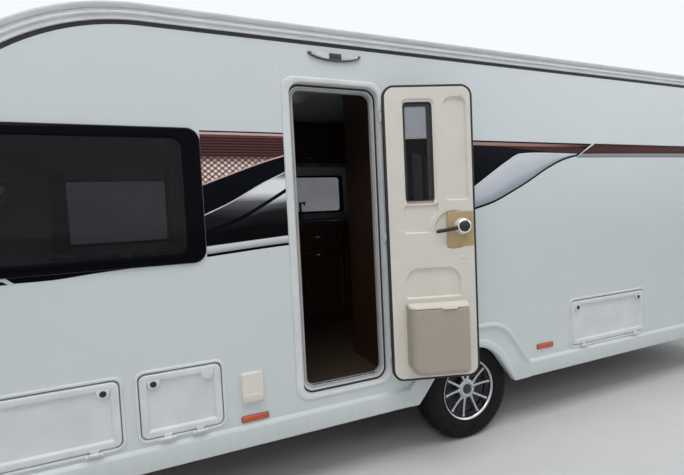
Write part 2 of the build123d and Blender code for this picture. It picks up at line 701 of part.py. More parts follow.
def coupling():
    """Drawbar, overrun housing, coupling head with its ball socket, and handbrake lever."""
    rear, front = BALL_AHEAD - 330, BALL_AHEAD - 170
    foot, top = BALL_HEIGHT - 8, BALL_HEIGHT + 45
    housing = block(rear, front, -49, 49, A_FRAME_TOP, A_FRAME_TOP + 80)
    drawbar = rod_x(0, BALL_HEIGHT + 22, 27, front, BALL_AHEAD - 50)
    head = rod_z(BALL_AHEAD, 0, 42, foot, top)
    throat = outline(((BALL_AHEAD - 90, 30, 0), (BALL_AHEAD, 40, 0), (BALL_AHEAD, -40, 0), (BALL_AHEAD - 90, -30, 0)))
    head += upright(throat, foot, top)
    grip = outline(((-100, 45, 0), (-20, 45, 0), (-20, 60, 8), (-90, 76, 6), (-190, 84, 6), (-190, 70, 0)))
    head += across(Pos(BALL_AHEAD, BALL_HEIGHT) * grip, -14, 14)
    lever = across(Pos(rear, A_FRAME_TOP) * outline((
        (30, 20, 0), (60, 20, 0), (66, 260, 8), (46, 345, 12), (22, 345, 12), (36, 250, 8))), 49, 61)
    whole = housing + drawbar + head + lever
    whole -= Pos(BALL_AHEAD, 0, BALL_HEIGHT) * Sphere(25.2)
    whole -= rod_z(BALL_AHEAD, 0, 25.2, BALL_HEIGHT - 20, BALL_HEIGHT)
    return whole


def jockey_pieces():
    """Clamp tube on the A-frame, sliding leg, swivelling fork and small wheel."""
    x, centre = JOCKEY_X, JOCKEY_WHEEL
    y = -a_frame_side(JOCKEY_X) - JOCKEY_OFF
    clamp = rod_z(x, y, JOCKEY_TUBE + 7, CLAMP_FOOT, CLAMP_TOP) + rod_z(x, y, JOCKEY_PIVOT, CLAMP_TOP, CLAMP_TOP + 30)
    clamp += block(x - 30, x + 30, y, -a_frame_side(x + 30), CLAMP_FOOT, A_FRAME_TOP) - a_frame_solid()
    clamp += block(x - 110, x, y - 7, y + 7, CLAMP_TOP + 20, CLAMP_TOP + 32)
    clamp -= rod_z(x, y, JOCKEY_TUBE + RUNNING_FIT, CLAMP_FOOT - 10, CLAMP_TOP - 8)
    leg = rod_z(x, y, JOCKEY_TUBE, FORK_TOP + 6, 590) + rod_z(x, y, JOCKEY_PIVOT, FORK_FOOT - 6, FORK_TOP + 6)
    wheel_x = x - JOCKEY_TRAIL
    fork = block(wheel_x - 22, x + 26, y - 44, y + 44, FORK_FOOT, FORK_TOP)
    for side in (-1, 1):
        fork += block(wheel_x - 20, wheel_x + 20, *sorted((y + side * 36, y + side * 44)), centre - 20, FORK_FOOT + 1)
    fork += rod_y(wheel_x, centre, 8, y - 52, y + 52)
    fork -= rod_z(x, y, JOCKEY_PIVOT + RUNNING_FIT, FORK_FOOT - 12, FORK_TOP + 8)
    tread = outline((
        (y - 28, 8, 0),
        (y + 28, 8, 0),
        (y + 28, 40, 0),
        (y + 20, 48, 4),
        (y + 25, JOCKEY_WHEEL, 12),
        (y - 25, JOCKEY_WHEEL, 12),
        (y - 20, 48, 4),
        (y - 28, 40, 0),
    ))
    upward = Plane(origin=(wheel_x, 0, centre), x_dir=(0, 1, 0), z_dir=(1, 0, 0))
    wheel = revolve(upward * tread, axis=Axis((wheel_x, 0, centre), (0, 1, 0)))
    wheel -= rod_y(wheel_x, centre, 8 + RUNNING_FIT, y - 30, y + 30)
    return {"jockey_clamp": clamp, "jockey_leg": leg, "jockey_fork": fork, "jockey_wheel": wheel}


def steady_pieces():
    """Four swing-down corner steadies and the brackets that carry them."""
    brackets = []
    arms = {}
    for name, x, side, way in STEADIES:
        y = side * STEADY_Y
        plate_y = sorted((side * (MEMBER_Y + MEMBER_WIDE - 10), side * (STEADY_Y + 40)))
        bracket = block(x - 30, x + 30, *plate_y, MEMBER_FOOT + 10, MEMBER_FOOT + 45)
        for cheek in (-1, 1):
            ys = sorted((y + cheek * 26, y + cheek * 34))
            bracket += block(x - 18, x + 18, *ys, STEADY_Z - 16, MEMBER_FOOT + 20)
        bracket += rod_y(x, STEADY_Z, 8, y - 34, y + 34)
        brackets.append(bracket)
        far = x + way * STEADY_ARM
        taper = outline((
            (x, STEADY_Z - 14, 0),
            (far, STEADY_Z - 14, 0),
            (far, STEADY_Z, 0),
            (x + way * 60, STEADY_Z + 12, 0),
            (x, STEADY_Z + 12, 0),
        ))
        arm = across(taper, y - 20, y + 20)
        arm += rod_y(x, STEADY_Z, 16, y - 20, y + 20)
        arm += block(far - 45, far + 45, y - 40, y + 40, STEADY_Z - 22, STEADY_Z - 14)
        arm -= rod_y(x, STEADY_Z, 8 + RUNNING_FIT, y - 30, y + 30)
        arms["steady_" + name] = arm
    return brackets, arms


def carcass(x0, x1, front, wall, z0, z1, foot=False):
    """Boards of a cupboard against a wall: front, two ends, top and, where it hangs, a foot."""
    inward = 1 if wall > front else -1
    behind = front + inward * (SHEET + SEAM)
    between = (x0 + SHEET + SEAM, x1 - SHEET - SEAM)
    boards = [
        block(x0, x1, front, front + inward * SHEET, z0, z1),
        block(x0, x0 + SHEET, behind, wall, z0, z1),
        block(x1 - SHEET, x1, behind, wall, z0, z1),
        block(*between, behind, wall, z1 - SHEET, z1),
    ]
    if foot:
        boards.append(block(*between, behind, wall, z0, z0 + SHEET))
    return boards


def furniture():
    """Cupboards and partitions that show through the doorway and the windows."""
    edge = ROOM_EDGE
    long, inner_y, top, sheet = WHEEL_BOX
    wheel_box = block(-long - sheet, long + sheet, -edge, sheet - inner_y, FLOOR_TOP, top + sheet)
    boards = [board - wheel_box for board in carcass(*KITCHEN, KITCHEN_Y, -edge, FLOOR_TOP, WORKTOP_UNDER)]
    boards += carcass(*KITCHEN, 320 - HALF_WIDTH, -edge, OVERHEAD_FOOT, OVERHEAD_TOP, foot=True)
    for side, rear in SEATS:
        boards += carcass(rear, SEATS_FRONT, side * SEAT_Y, side * edge, FLOOR_TOP, SEAT_TOP)
    high_rear, high_front, high_y = NEAR_HIGH
    boards += carcass(high_rear, high_front, high_y, edge, OVERHEAD_FOOT, OVERHEAD_TOP, foot=True)
    chest_x, chest_top, chest_sheet = CHEST
    shelf = chest_top - chest_sheet
    chest = block(chest_x, chest_x + chest_sheet, -edge, edge, FLOOR_TOP, shelf)
    chest += block(chest_x, FRONT_X - 60, -edge, edge, shelf, chest_top)
    x, inner_edge, thick = PARTITION
    partition = block(x, x + thick, inner_edge, edge, FLOOR_TOP, ROOF_TOP - 47)
    bulkhead = block(BULKHEAD_X, BULKHEAD_X + 18, -edge, edge, FLOOR_TOP, ROOF_TOP - SKIN)
    bulkhead -= block(BULKHEAD_X - 1, BULKHEAD_X + 19, -250, 250, FLOOR_TOP, ROOF_TOP - 187)
    return boards + [chest, partition, bulkhead]


def locker_cupboards():
    """Cupboards behind the rear locker and round the toilet cassette, open to their lockers."""
    _, _, rear_x1, _, _, _ = LOCKERS[2]
    _, cassette_x0, cassette_x1, _, _, _ = LOCKERS[3]
    boards = carcass(BULKHEAD_X + 25, rear_x1 + 35, CUPBOARD_Y, ROOM_EDGE, FLOOR_TOP, CUPBOARD_TOP)
    boards += carcass(cassette_x0 - 50, cassette_x1 + 50, -CUPBOARD_Y, -ROOM_EDGE, FLOOR_TOP, CUPBOARD_TOP)
    return boards


def seat_cushions():
    """Seats and backrests along both sides of the front room, with rounded edges."""
    pieces = []
    for side, rear in SEATS:
        x0 = rear + 6
        long = (SEATS_FRONT - 6 - x0) / 2
        for k in (0, 1):
            ends = (x0 + k * long + 2, x0 + (k + 1) * long - 2)
            wall = side * (ROOM_EDGE - SEAM)
            seat = block(*ends, side * (SEAT_Y + 3), wall, SEAT_TOP + SEAM, SEAT_TOP + CUSHION)
            rest = block(*ends, side * (ROOM_EDGE - BACKREST), wall, SEAT_TOP + CUSHION + SEAM, BACKREST_TOP)
            pieces.append(fillet(seat.edges(), 25))
            pieces.append(fillet(rest.edges(), 25))
    return pieces


def worktop():
    """Kitchen worktop with its sunk basin and the tap."""
    rear, front = KITCHEN
    top = block(rear - 10, front + 10, -ROOM_EDGE, KITCHEN_Y + 20, WORKTOP_UNDER, WORKTOP_TOP)
    x0, x1, from_wall, to_wall, radius = BASIN
    basin = rectangle(x0, x1, from_wall - ROOM_EDGE, to_wall - ROOM_EDGE, radius)
    top -= upright(basin, WORKTOP_UNDER + 6, WORKTOP_TOP + 1)
    tap_x = (x0 + x1) / 2
    tap_y = 93 - ROOM_EDGE
    spout = WORKTOP_TOP + 200
    top += rod_z(tap_x, tap_y, 14, WORKTOP_TOP, spout)
    top += rod_y(tap_x, spout - 10, 10, tap_y, tap_y + 145)
    return top + rod_z(tap_x, tap_y + 135, 9, spout - 40, spout - 10)


def rooflight_pieces():
    """Domed rooflights with their flanges, and their cuts."""
    lights, cuts = [], []
    for x, y, long, wide in ROOFLIGHTS:
        def face(grow, radius):
            ends = (x - long / 2 - grow, x + long / 2 + grow)
            sides = (y - wide / 2 - grow, y + wide / 2 + grow)
            return rectangle(*ends, *sides, radius)
        light = upright(face(40, 50), ROOF_TOP, ROOF_TOP + 25)
        rise = ROOFLIGHT_TALL - 25
        light += Pos(0, 0, ROOF_TOP + 25) * extrude(face(18, 50), rise, taper=20)
        light -= Pos(0, 0, ROOF_TOP - 1) * extrude(face(-4, 40), ROOFLIGHT_TALL - 11, taper=12)
        lights.append(light)
        cuts.append(upright(face(-4, 40), ROOF_TOP - 100, ROOF_TOP + 10))
    return lights, cuts


def small_fittings(body_solid):
    """Side reflectors, rear and front lamps, awning lamp, socket box and fridge vents."""
    face = HALF_WIDTH
    amber = [across(rectangle(x0, x1, z0, z1, 12), face, face + 9) for x0, x1, z0, z1 in (
        (1320, 1462, 468, 503), (-702, -547, 510, 547))]
    amber += [other_side(shape) for shape in amber]
    lamps = []
    white = []
    for side in (-1, 1):
        rear_y = sorted((side * (HALF_WIDTH - 180), side * (HALF_WIDTH - 80)))
        lamp = along(rectangle(*rear_y, 700, 1260, 40), REAR_X - 22, REAR_X + 80)
        lamps.append(lamp - body_solid)
        front_y = sorted((side * (HALF_WIDTH - 150), side * (HALF_WIDTH - 60)))
        marker = along(rectangle(*front_y, 600, 660, 15), front_x(600) - 5, front_x(600) + 18)
        white.append(marker - body_solid)
    awning = across(rectangle(705, 1012, LEAF_TOP + 130, LEAF_TOP + 175, 21), face, face + 20)
    socket = across(rectangle(1342, 1453, 575, 725, 14), face, face + 26)
    vents = []
    rear, front, feet, tall = VENTS
    pitch = (tall - 36) / VENT_SLOTS
    for z0 in feet:
        vent = across(rectangle(rear, front, z0, z0 + tall, 18), -face - 12, -face)
        for k in range(VENT_SLOTS):
            slot = z0 + 25 + pitch * k
            vent -= block(rear + 30, front - 30, -face - 13, -face - 5, slot, slot + pitch - 17)
        vents.append(vent)
    return amber, lamps, white, awning, socket, vents


def grab_handle(x, y, z, length, out):
    """Bowed handle standing off an end panel, upright."""
    radius = 14
    stand = 60
    bar = rod_z(x + out * stand, y, radius, z + radius, z + length - radius)
    for end in (z + radius, z + length - radius):
        bar += rod_x(y, end, radius, *sorted((x, x + out * stand)))
        bar += Pos(x + out * stand, y, end) * Sphere(radius)
    return bar


def ends(body_solid):
    """Rear bumper, plate, handles and the fairing over the A-frame."""
    half = HALF_WIDTH - 5
    section = outline((
        (REAR_X + 70, SKIRT_FOOT, 0),
        (REAR_X + 70, 500, 0),
        (REAR_X - 8, 500, 10),
        (REAR_X - 30, 470, 10),
        (REAR_X - 30, 375, 20),
        (REAR_X - 10, SKIRT_FOOT, 20),
    ))
    bumper = across(section, -half, half) - body_solid
    bumper -= block(REAR_X + 10, REAR_X + 200, 30 - half, half - 30, SKIRT_FOOT + 12, 520)
    bumper -= block(REAR_X - 40, REAR_X - 28, -265, 265, 376, 494)
    plate = block(REAR_X - 34, REAR_X - 28, -260, 260, 380, 490)
    handles = []
    for side in (-1, 1):
        handles.append(grab_handle(REAR_X + 30, side * (HALF_WIDTH - 260), 640, 260, -1) - body_solid)
        handles.append(grab_handle(front_x(700) - 15, side * (HALF_WIDTH - 230), 640, 200, 1) - body_solid)
    tip = FRONT_X + 510
    wide = HALF_WIDTH - 290
    rear = FRONT_X - 90
    foot, sheet = FAIRING
    plan = outline(((rear, wide, 40), (tip, 420, 60), (tip, -420, 60), (rear, -wide, 40)))
    fairing = upright(plan, foot, foot + sheet)
    fairing -= body_solid
    fairing += block(FRONT_X - 30, tip - 40, -20, 20, A_FRAME_TOP, foot)
    return bumper, plate, handles, fairing


def build():
    """Every piece by name."""
    outer, inner = body_faces()
    body_solid = across(outer, -HALF_WIDTH, HALF_WIDTH)
    shell = across(outer, -ROOM_EDGE, ROOM_EDGE)
    shell -= across(inner, -HALF_WIDTH, HALF_WIDTH)
    shell -= block(REAR_X + 80, FRONT_X - 100, -HALF_WIDTH, HALF_WIDTH, 300, FLOOR_UNDER)
    end_cuts, end_panes, end_borders = end_window_pieces(outer)
    roof_lights, roof_cuts = rooflight_pieces()
    gas_cut, gas_lugs, gas_lid = gas_lid_pieces(shell)
    for cut in end_cuts + roof_cuts:
        shell -= cut
    sides = (-BEYOND, BEYOND, 0, BEYOND)
    front = (shell & block(ROOF_JOINT_FRONT, BEYOND, *sides)) - gas_cut - a_frame_solid()
    for lug in gas_lugs:
        front += lug
    rings, locker_doors = locker_pieces()
    side_panes, side_borders = side_window_pieces()
    tyre, rim = wheel_pieces()
    brackets, arms = steady_pieces()
    amber, lamps, white, awning, socket, vents = small_fittings(body_solid)
    bumper, plate, handles, fairing = ends(body_solid)
    frame = chassis()
    for bracket in brackets:
        frame += bracket
    pieces = {
        "chassis": frame,
        "a_frame": a_frame(),
        "axle": axle(),
        "coupling": coupling(),
        "floor_panel": floor_panel(inner),
        "wall_nearside": side_wall(outer, 1),
        "wall_offside": side_wall(outer, -1),
        "roof_panel": shell & block(ROOF_JOINT_REAR, ROOF_JOINT_FRONT, *sides),
        "front_panel": front,
        "rear_panel": shell & block(-BEYOND, ROOF_JOINT_REAR, *sides),
        "edge_rails": edge_rails(outer),
        "side_skirts": side_skirts(),
        "door_frame": door_frame(),
        "side_window_panes": group(side_panes),
        "side_window_borders": group(side_borders),
        "end_window_panes": group(end_panes),
        "end_window_borders": group(end_borders),
        "rooflights": group(roof_lights),
        "locker_frames": group(rings),
        "gas_locker_lid": gas_lid,
        "furniture": group(furniture()),
        "locker_cupboards": group(locker_cupboards()),
        "seat_cushions": group(seat_cushions()),
        "worktop": worktop(),
        "tyre_nearside": tyre,
        "rim_nearside": rim,
        "tyre_offside": other_side(tyre),
        "rim_offside": other_side(rim),
        "side_reflectors": group(amber),
        "rear_lamps": group(lamps),
        "front_lamps": group(white),
        "awning_lamp": awning,
        "socket_box": socket,
        "fridge_vents": group(vents),
        "rear_bumper": bumper,
        "number_plate": plate,
        "grab_handles": group(handles),
        "frame_fairing": fairing,
    }
    pieces.update(door_pieces())
    pieces.update(locker_doors)
    pieces.update(jockey_pieces())
    pieces.update(arms)
    return pieces


os.makedirs("parts", exist_ok=True)
for piece_name, shape in build().items():
    export_step(Pos(-BALL_AHEAD, 0, -BALL_HEIGHT) * shape, f"parts/{piece_name}.step")
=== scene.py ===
import json
import math

import bmesh
import bpy
from mathutils import Matrix, Vector, bvhtree


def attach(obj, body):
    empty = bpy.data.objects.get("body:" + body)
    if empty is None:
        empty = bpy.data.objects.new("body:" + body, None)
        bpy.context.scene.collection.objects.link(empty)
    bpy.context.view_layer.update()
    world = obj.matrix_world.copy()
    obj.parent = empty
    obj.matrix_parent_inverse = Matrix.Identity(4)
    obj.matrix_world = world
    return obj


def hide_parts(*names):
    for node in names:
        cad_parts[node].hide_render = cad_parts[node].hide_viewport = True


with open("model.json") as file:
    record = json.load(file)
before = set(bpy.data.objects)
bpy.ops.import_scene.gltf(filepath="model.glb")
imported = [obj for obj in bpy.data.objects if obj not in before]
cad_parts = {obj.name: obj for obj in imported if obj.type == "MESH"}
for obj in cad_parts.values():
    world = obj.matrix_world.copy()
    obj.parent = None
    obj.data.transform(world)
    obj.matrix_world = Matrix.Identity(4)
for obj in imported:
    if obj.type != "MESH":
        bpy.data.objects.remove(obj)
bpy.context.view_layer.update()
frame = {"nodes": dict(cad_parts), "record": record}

# Places are counted in metres forward of the axle, to the nearside and above the ground,
# and at() moves them to the frame, whose origin is the tow ball.
BALL_AHEAD = 4.35
BALL_HEIGHT = 0.43

# Body
WALL_Y = 1.11
FACE_Y = WALL_Y + 0.008
ROOF_TOP = 2.487
SKIRT_FOOT = 0.342
SKIRT_TOP = 0.458
REAR_X = -2.93
FRONT_X = 3.19
# Outline of the side walls, of the wheel opening and of the spat, as (x, z, radius) corners
BODY = (
    (FRONT_X - 0.06, 0.4, 0.03),
    (FRONT_X, 1.15, 0.6),
    (FRONT_X - 0.318, ROOF_TOP - 0.579, 0.9),
    (FRONT_X - 1.008, ROOF_TOP, 1.05),
    (REAR_X + 0.07, ROOF_TOP, 0.26),
    (REAR_X, 1.15, 2.5),
    (REAR_X + 0.04, 0.4, 0.03),
)
ARCH = ((-0.366, 0.3, 0), (-0.135, 0.617, 0.25), (0.178, 0.617, 0.25), (0.452, 0.3, 0))
SPAT = (
    (-0.47, SKIRT_FOOT, 0),
    (-0.47, SKIRT_TOP, 0),
    (-0.257, 0.762, 0.25),
    (0.257, 0.762, 0.25),
    (0.47, SKIRT_TOP, 0),
    (0.47, SKIRT_FOOT, 0),
)

# Wheels
TYRE_RADIUS = 0.325
TYRE_OUTER = WALL_Y - 0.038
TYRE_WIDE = 0.185
BEAD = 0.178
FLANGE = BEAD + 0.018

# Entrance door, drawn closed and swung about its hinge
AXIS_X = 0.606
AXIS_Y = FACE_Y + 0.012
OPENED = math.radians(162.3)
LEAF_X = AXIS_X + 0.008
LEAF_WIDE = 0.503
LEAF_FOOT = 0.541
LEAF_TALL = 1.649
LEAF_THICK = 0.038
LEAF_RADIUS = 0.062
FRAME_X = (0.585, 1.165)
FRAME_Z = (0.512, 2.228)

# Locker doors: name, x rear, x front, z foot, z top, side, which lock lugs have black centres
LOCKERS = (
    ("front_locker", 1.98, 2.66, 0.475, 0.817, 1, (True, True)),
    ("middle_locker", 1.53, 1.935, 0.478, 0.82, 1, (False, True)),
    ("rear_locker", -1.69, -0.865, 0.465, 0.822, 1, (True, True)),
    ("cassette", -2.35, -1.93, 0.475, 0.83, -1, (True, True)),
)
# Side windows: x rear, x front, z foot, z top, corner radius, side
WINDOWS = (
    (1.58, 2.64, 1.303, 1.942, 0.06, 1),
    (1.58, 2.64, 1.303, 1.942, 0.06, -1),
    (-0.15, 0.65, 1.5, 1.96, 0.05, -1),
    (-2.48, -2.08, 1.5, 1.942, 0.05, -1),
)
# Width of a window's black border, along and up
WINDOW_BORDER = (0.085, 0.05)

# Camera as solved from the photo: place, turn to the rear, tilt down, roll and focal length
CAMERA_AT = (1.779, WALL_Y + 2.174, 1.5)
CAMERA_YAW = 22.854
CAMERA_PITCH = 3.054
CAMERA_ROLL = -2.721
CAMERA_FOCAL_PX = 430.23
IMAGE_WIDE_PX = 684
SENSOR_MM = 36.0

# Radius that closes a turned form at its axis
POINT = 0.0001


def at(x, y, z):
    """A place by the axle, centre line and ground, in the frame."""
    return Vector((x - BALL_AHEAD, y, z - BALL_HEIGHT))


# Geometry tools

def lerp(a, b, t):
    return a + (b - a) * t


def smooth(value, low, high):
    """Soft step from 0 at low to 1 at high."""
    t = min(1.0, max(0.0, (value - low) / (high - low)))
    return t * t * (3 - 2 * t)


def spread_over(low, high, step):
    """Even values from low to high, about a step apart."""
    count = max(1, math.ceil(abs(high - low) / step - 1e-6))
    return [lerp(low, high, i / count) for i in range(count + 1)]


def through(points):
    """Smooth function of x through a few (x, z) points, with the slope between its neighbours at each."""
    points = sorted(points)
    slopes = []
    for i in range(len(points)):
        (x0, z0), (x1, z1) = points[max(i - 1, 0)], points[min(i + 1, len(points) - 1)]
        slopes.append((z1 - z0) / (x1 - x0))

    def height(x):
        i = 0
        while i < len(points) - 2 and x > points[i + 1][0]:
            i += 1
        (x0, z0), (x1, z1) = points[i], points[i + 1]
        if x <= points[0][0]:
            return points[0][1] + slopes[0] * (x - points[0][0])
        if x >= points[-1][0]:
            return points[-1][1] + slopes[-1] * (x - points[-1][0])
        wide = x1 - x0
        t = (x - x0) / wide
        return ((2 * t**3 - 3 * t**2 + 1) * z0 + (t**3 - 2 * t**2 + t) * wide * slopes[i]
                + (3 * t**2 - 2 * t**3) * z1 + (t**3 - t**2) * wide * slopes[i + 1])
    return height


def rounded(corners, step=0.012, closed=True, arcs=0):
    """Points round an outline of (a, b, radius) corners, each with its outward direction.

    arcs is a fixed number of steps for every corner, so that outlines can be lofted.
    """
    found = []
    count = len(corners)
    for i, (a, b, radius) in enumerate(corners):
        here = Vector((a, b))
        back = Vector(corners[i - 1][:2]) - here
        ahead = Vector(corners[(i + 1) % count][:2]) - here
        if not closed and i in (0, count - 1):
            way = (ahead if i == 0 else -back).normalized()
            found.append((here, Vector((way.y, -way.x))))
            continue
        back.normalize()
        ahead.normalize()
        half = back.angle(ahead) / 2
        convex = 1 if back.cross(ahead) < 0 else -1
        inward = (back + ahead).normalized()
        if not radius:
            found.append((here, -inward * convex / math.sin(half)))
            continue
        reach = radius / math.tan(half)
        centre = here + inward * (radius / math.sin(half))
        start = here + back * reach - centre
        turn = -convex * (math.pi - 2 * half)
        pieces = arcs or max(3, math.ceil(radius * abs(turn) / step))
        for k in range(pieces + 1):
            angle = -turn * k / pieces
            arm = Vector((start.x * math.cos(angle) - start.y * math.sin(angle),
                          start.x * math.sin(angle) + start.y * math.cos(angle)))
            found.append((centre + arm, arm.normalized() * convex))
    return found


def box_corners(a0, a1, b0, b1, radius):
    """Corners of a rounded rectangle, counter-clockwise."""
    return ((a0, b0, radius), (a1, b0, radius), (a1, b1, radius), (a0, b1, radius))


def box_distance(a, b, a0, a1, b0, b1, radius):
    """Signed distance to a rounded rectangle, below 0 inside."""
    qa = abs(a - (a0 + a1) / 2) - ((a1 - a0) / 2 - radius)
    qb = abs(b - (b0 + b1) / 2) - ((b1 - b0) / 2 - radius)
    return math.hypot(max(qa, 0), max(qb, 0)) + min(max(qa, qb), 0) - radius


def ring(box, inset, height, place, arcs):
    """Places round a box of (a0, a1, b0, b1, radius), moved inward and raised."""
    a0, a1, b0, b1, radius = inward(box, inset)
    return [place(*p, height) for p, _ in rounded(box_corners(a0, a1, b0, b1, radius), arcs=arcs)]


def inward(box, inset):
    """A box of (a0, a1, b0, b1, radius) made smaller all round."""
    a0, a1, b0, b1, radius = box
    return a0 + inset, a1 - inset, b0 + inset, b1 - inset, max(radius - inset, 0.002)


def swept(points, profile, place):
    """Rows of a profile of (inset, height) along points that carry their outward direction."""
    return [[place(*(p - out * inset), height) for p, out in points] for inset, height in profile]


def circle(centre, up, across, radius, sides):
    """Places round a circle in the plane of two directions."""
    angles = [2 * math.pi * k / sides for k in range(sides)]
    return [centre + (up * math.cos(angle) + across * math.sin(angle)) * radius for angle in angles]


class Form:
    """Vertices and faces gathered for one piece."""

    def __init__(self):
        self.points = []
        self.faces = []
        self.maps = []

    def rows(self, rows, closed=True, round_rows=False):
        """Quads between rows; closed joins each row's ends, round_rows the last row to the first."""
        start = len(self.points)
        wide = len(rows[0])
        for row in rows:
            self.points.extend(row)
        for i in range(len(rows) if round_rows else len(rows) - 1):
            a = start + i * wide
            b = start + (i + 1) % len(rows) * wide
            for j in range(wide if closed else wide - 1):
                k = (j + 1) % wide
                self.faces.append((a + j, a + k, b + k, b + j))

    def solid(self, rows):
        """Rows with a face over the first and the last."""
        self.rows(rows)
        for row in (rows[0], rows[-1]):
            start = len(self.points)
            self.points.extend(row)
            self.faces.append(tuple(range(start, start + len(row))))

    def plate(self, corners, place, low, high, bevel=0.002, step=0.012):
        """Rounded plate from low to high with a soft upper edge."""
        profile = [(0, low), (0, high - bevel), (bevel * 0.3, high - bevel * 0.3), (bevel, high)]
        self.solid(swept(rounded(corners, step), profile, place))

    def block(self, place, a0, a1, b0, b1, h0, h1, bevel=0.002):
        """Block with softened edges, as a plate."""
        self.plate(box_corners(a0, a1, b0, b1, bevel), place, h0, h1, bevel)

    def lofted(self, box, steps, place, arcs=8):
        """Closed plate through rings of a box at (inset, height)."""
        self.solid([ring(box, inset, height, place, arcs) for inset, height in steps])

    def framed(self, place, *bands, arcs=10):
        """Ring round an opening, closed on itself; each band is a box and its (inset, height)s."""
        rows = [ring(box, inset, height, place, arcs) for box, steps in bands for inset, height in steps]
        self.rows(rows, round_rows=True)

    def spun(self, centre, axis, profile, sides=32):
        """Profile of (along, radius) turned about an axis."""
        axis = Vector(axis).normalized()
        up = Vector((0, 0, 1) if abs(axis.z) < 0.99 else (1, 0, 0))
        up = (up - axis * up.dot(axis)).normalized()
        across = axis.cross(up)
        self.solid([circle(centre + axis * along, up, across, radius, sides) for along, radius in profile])

    def barrel(self, centre, axis, long, radius=0.007):
        """Turned hinge barrel with softened ends."""
        half, soft = long / 2, 0.001
        self.spun(centre, axis, ((-half, POINT), (-half, radius - soft), (soft - half, radius),
                                 (half - soft, radius), (half, radius - soft), (half, POINT)), 20)

    def tube(self, path, radius, sides):
        """Round bar along a path of places."""
        rows = []
        up = Vector((0.3, 0.5, 0.81))
        for i, here in enumerate(path):
            way = (path[min(i + 1, len(path) - 1)] - path[max(i - 1, 0)]).normalized()
            up = (up - way * up.dot(way)).normalized()
            rows.append(circle(here, up, way.cross(up), radius, sides))
        self.solid(rows)

    def relief(self, wide, tall, radius, height, place, step, back, hole):
        """Rounded plate whose face follows height(a, b), with a hole of (a0, a1, b0, b1)."""
        edge = [0, 0.0015, 0.004, 0.008, 0.013]
        arc = [radius * (1 - math.cos(math.pi / 2 * k / 8)) for k in range(8)]
        rise = sorted(arc + edge[1:4] + spread_over(radius, tall - radius, step)
                      + [tall - v for v in arc + edge[1:4]])
        run = edge[:-1] + spread_over(edge[-1], wide - edge[-1], step) + [wide - v for v in edge[:-1]]
        run = sorted(set(run + list(hole[:2])))
        rise = sorted(set(rise + list(hole[2:])))
        face, behind = [], []
        for b in rise:
            short = min(b, tall - b, radius)
            inset = radius - math.sqrt(max(0, radius**2 - (radius - short) ** 2))
            squeeze = (wide - 2 * inset) / wide
            line = [inset + a * squeeze for a in run]
            face.append([place(a, b, height(a, b)) for a in line])
            behind.append([place(a, b, back) for a in line])
        count = len(run)
        start = len(self.points)
        for row in face + behind:
            self.points.extend(row)
        other = start + len(face) * count

        def kept(i, j):
            a = (run[j] + run[j + 1]) / 2
            b = (rise[i] + rise[i + 1]) / 2
            return not (hole[0] < a < hole[1] and hole[2] < b < hole[3])
        cells = {(i, j) for i in range(len(rise) - 1) for j in range(count - 1) if kept(i, j)}
        for i, j in cells:
            for base in (start, other):
                a = base + i * count + j
                self.faces.append((a, a + 1, a + count + 1, a + count))
            sides = ((-1, 0, 0, 1), (1, 0, count, count + 1), (0, -1, 0, count), (0, 1, 1, count + 1))
            for di, dj, p, q in sides:
                if (i + di, j + dj) not in cells:
                    a = start + i * count + j
                    b = other + i * count + j
                    self.faces.append((a + p, a + q, b + q, b + p))

    def piece(self, name, finish, body="body", replaces=(), smooth_to=38, slot=None):
        """The finished object, riding on its body."""
        mesh = bpy.data.meshes.new(name)
        mesh.from_pydata(self.points, [], self.faces)
        if self.maps:
            layer = mesh.uv_layers.new(name="across")
            for loop in mesh.loops:
                layer.data[loop.index].uv = self.maps[loop.vertex_index]
        edit = bmesh.new()
        edit.from_mesh(mesh)
        bmesh.ops.remove_doubles(edit, verts=edit.verts, dist=2e-5)
        bmesh.ops.dissolve_degenerate(edit, edges=edit.edges, dist=1e-6)
        bmesh.ops.recalc_face_normals(edit, faces=edit.faces)
        edit.to_mesh(mesh)
        edit.free()
        mesh.shade_smooth()
        mesh.set_sharp_from_angle(angle=math.radians(smooth_to))
        obj = bpy.data.objects.new(name, mesh)
        bpy.context.scene.collection.objects.link(obj)
        mesh.materials.append(MATERIALS[finish])
        slot = slot or SLOTS.get(finish, "body_white" if finish.startswith("film") else finish)
        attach(obj, body)
        if replaces:
            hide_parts(*replaces)
        return obj


def side_place(side):
    """Places on a side wall: forward, up, outward."""
    return lambda a, b, h: at(a, side * (WALL_Y + h), b)


def swung(x, y, z):
    """A place of the closed entrance door, swung to where it stands."""
    dx, dy = x - AXIS_X, y - AXIS_Y
    turned_x = AXIS_X + dx * math.cos(OPENED) - dy * math.sin(OPENED)
    turned_y = AXIS_Y + dx * math.sin(OPENED) + dy * math.cos(OPENED)
    return at(turned_x, turned_y, z)


def leaf_inner(d, z, h):
    """Place on the door leaf's inner face: from the hinge edge, up from the ground, into the room."""
    return swung(LEAF_X + d, FACE_Y - LEAF_THICK - h, z)


def leaf_outer(x, z, h):
    """Place on the door leaf's outer face, by the closed door's x."""
    return swung(x, FACE_Y + h, z)


def clipped(points, low):
    """The stretch of a path that lies above a height, cut exactly there."""
    found = []
    for (p, n), (q, m) in zip(points, points[1:]):
        if (p.y > low) != (q.y > low):
            t = (low - p.y) / (q.y - p.y)
            found.append((p.lerp(q, t), n.lerp(m, t).normalized()))
        if q.y > low:
            found.append((q, m))
    if points[0][0].y > low:
        found.insert(0, points[0])
    return found


def subdivided(points, step):
    """The same path with long stretches divided."""
    found = [points[0]]
    for (p, n), (q, m) in zip(points, points[1:]):
        for t in spread_over(0, 1, step / max((q - p).length, step))[1:]:
            found.append((p.lerp(q, t), n.lerp(m, t).normalized()))
    return found


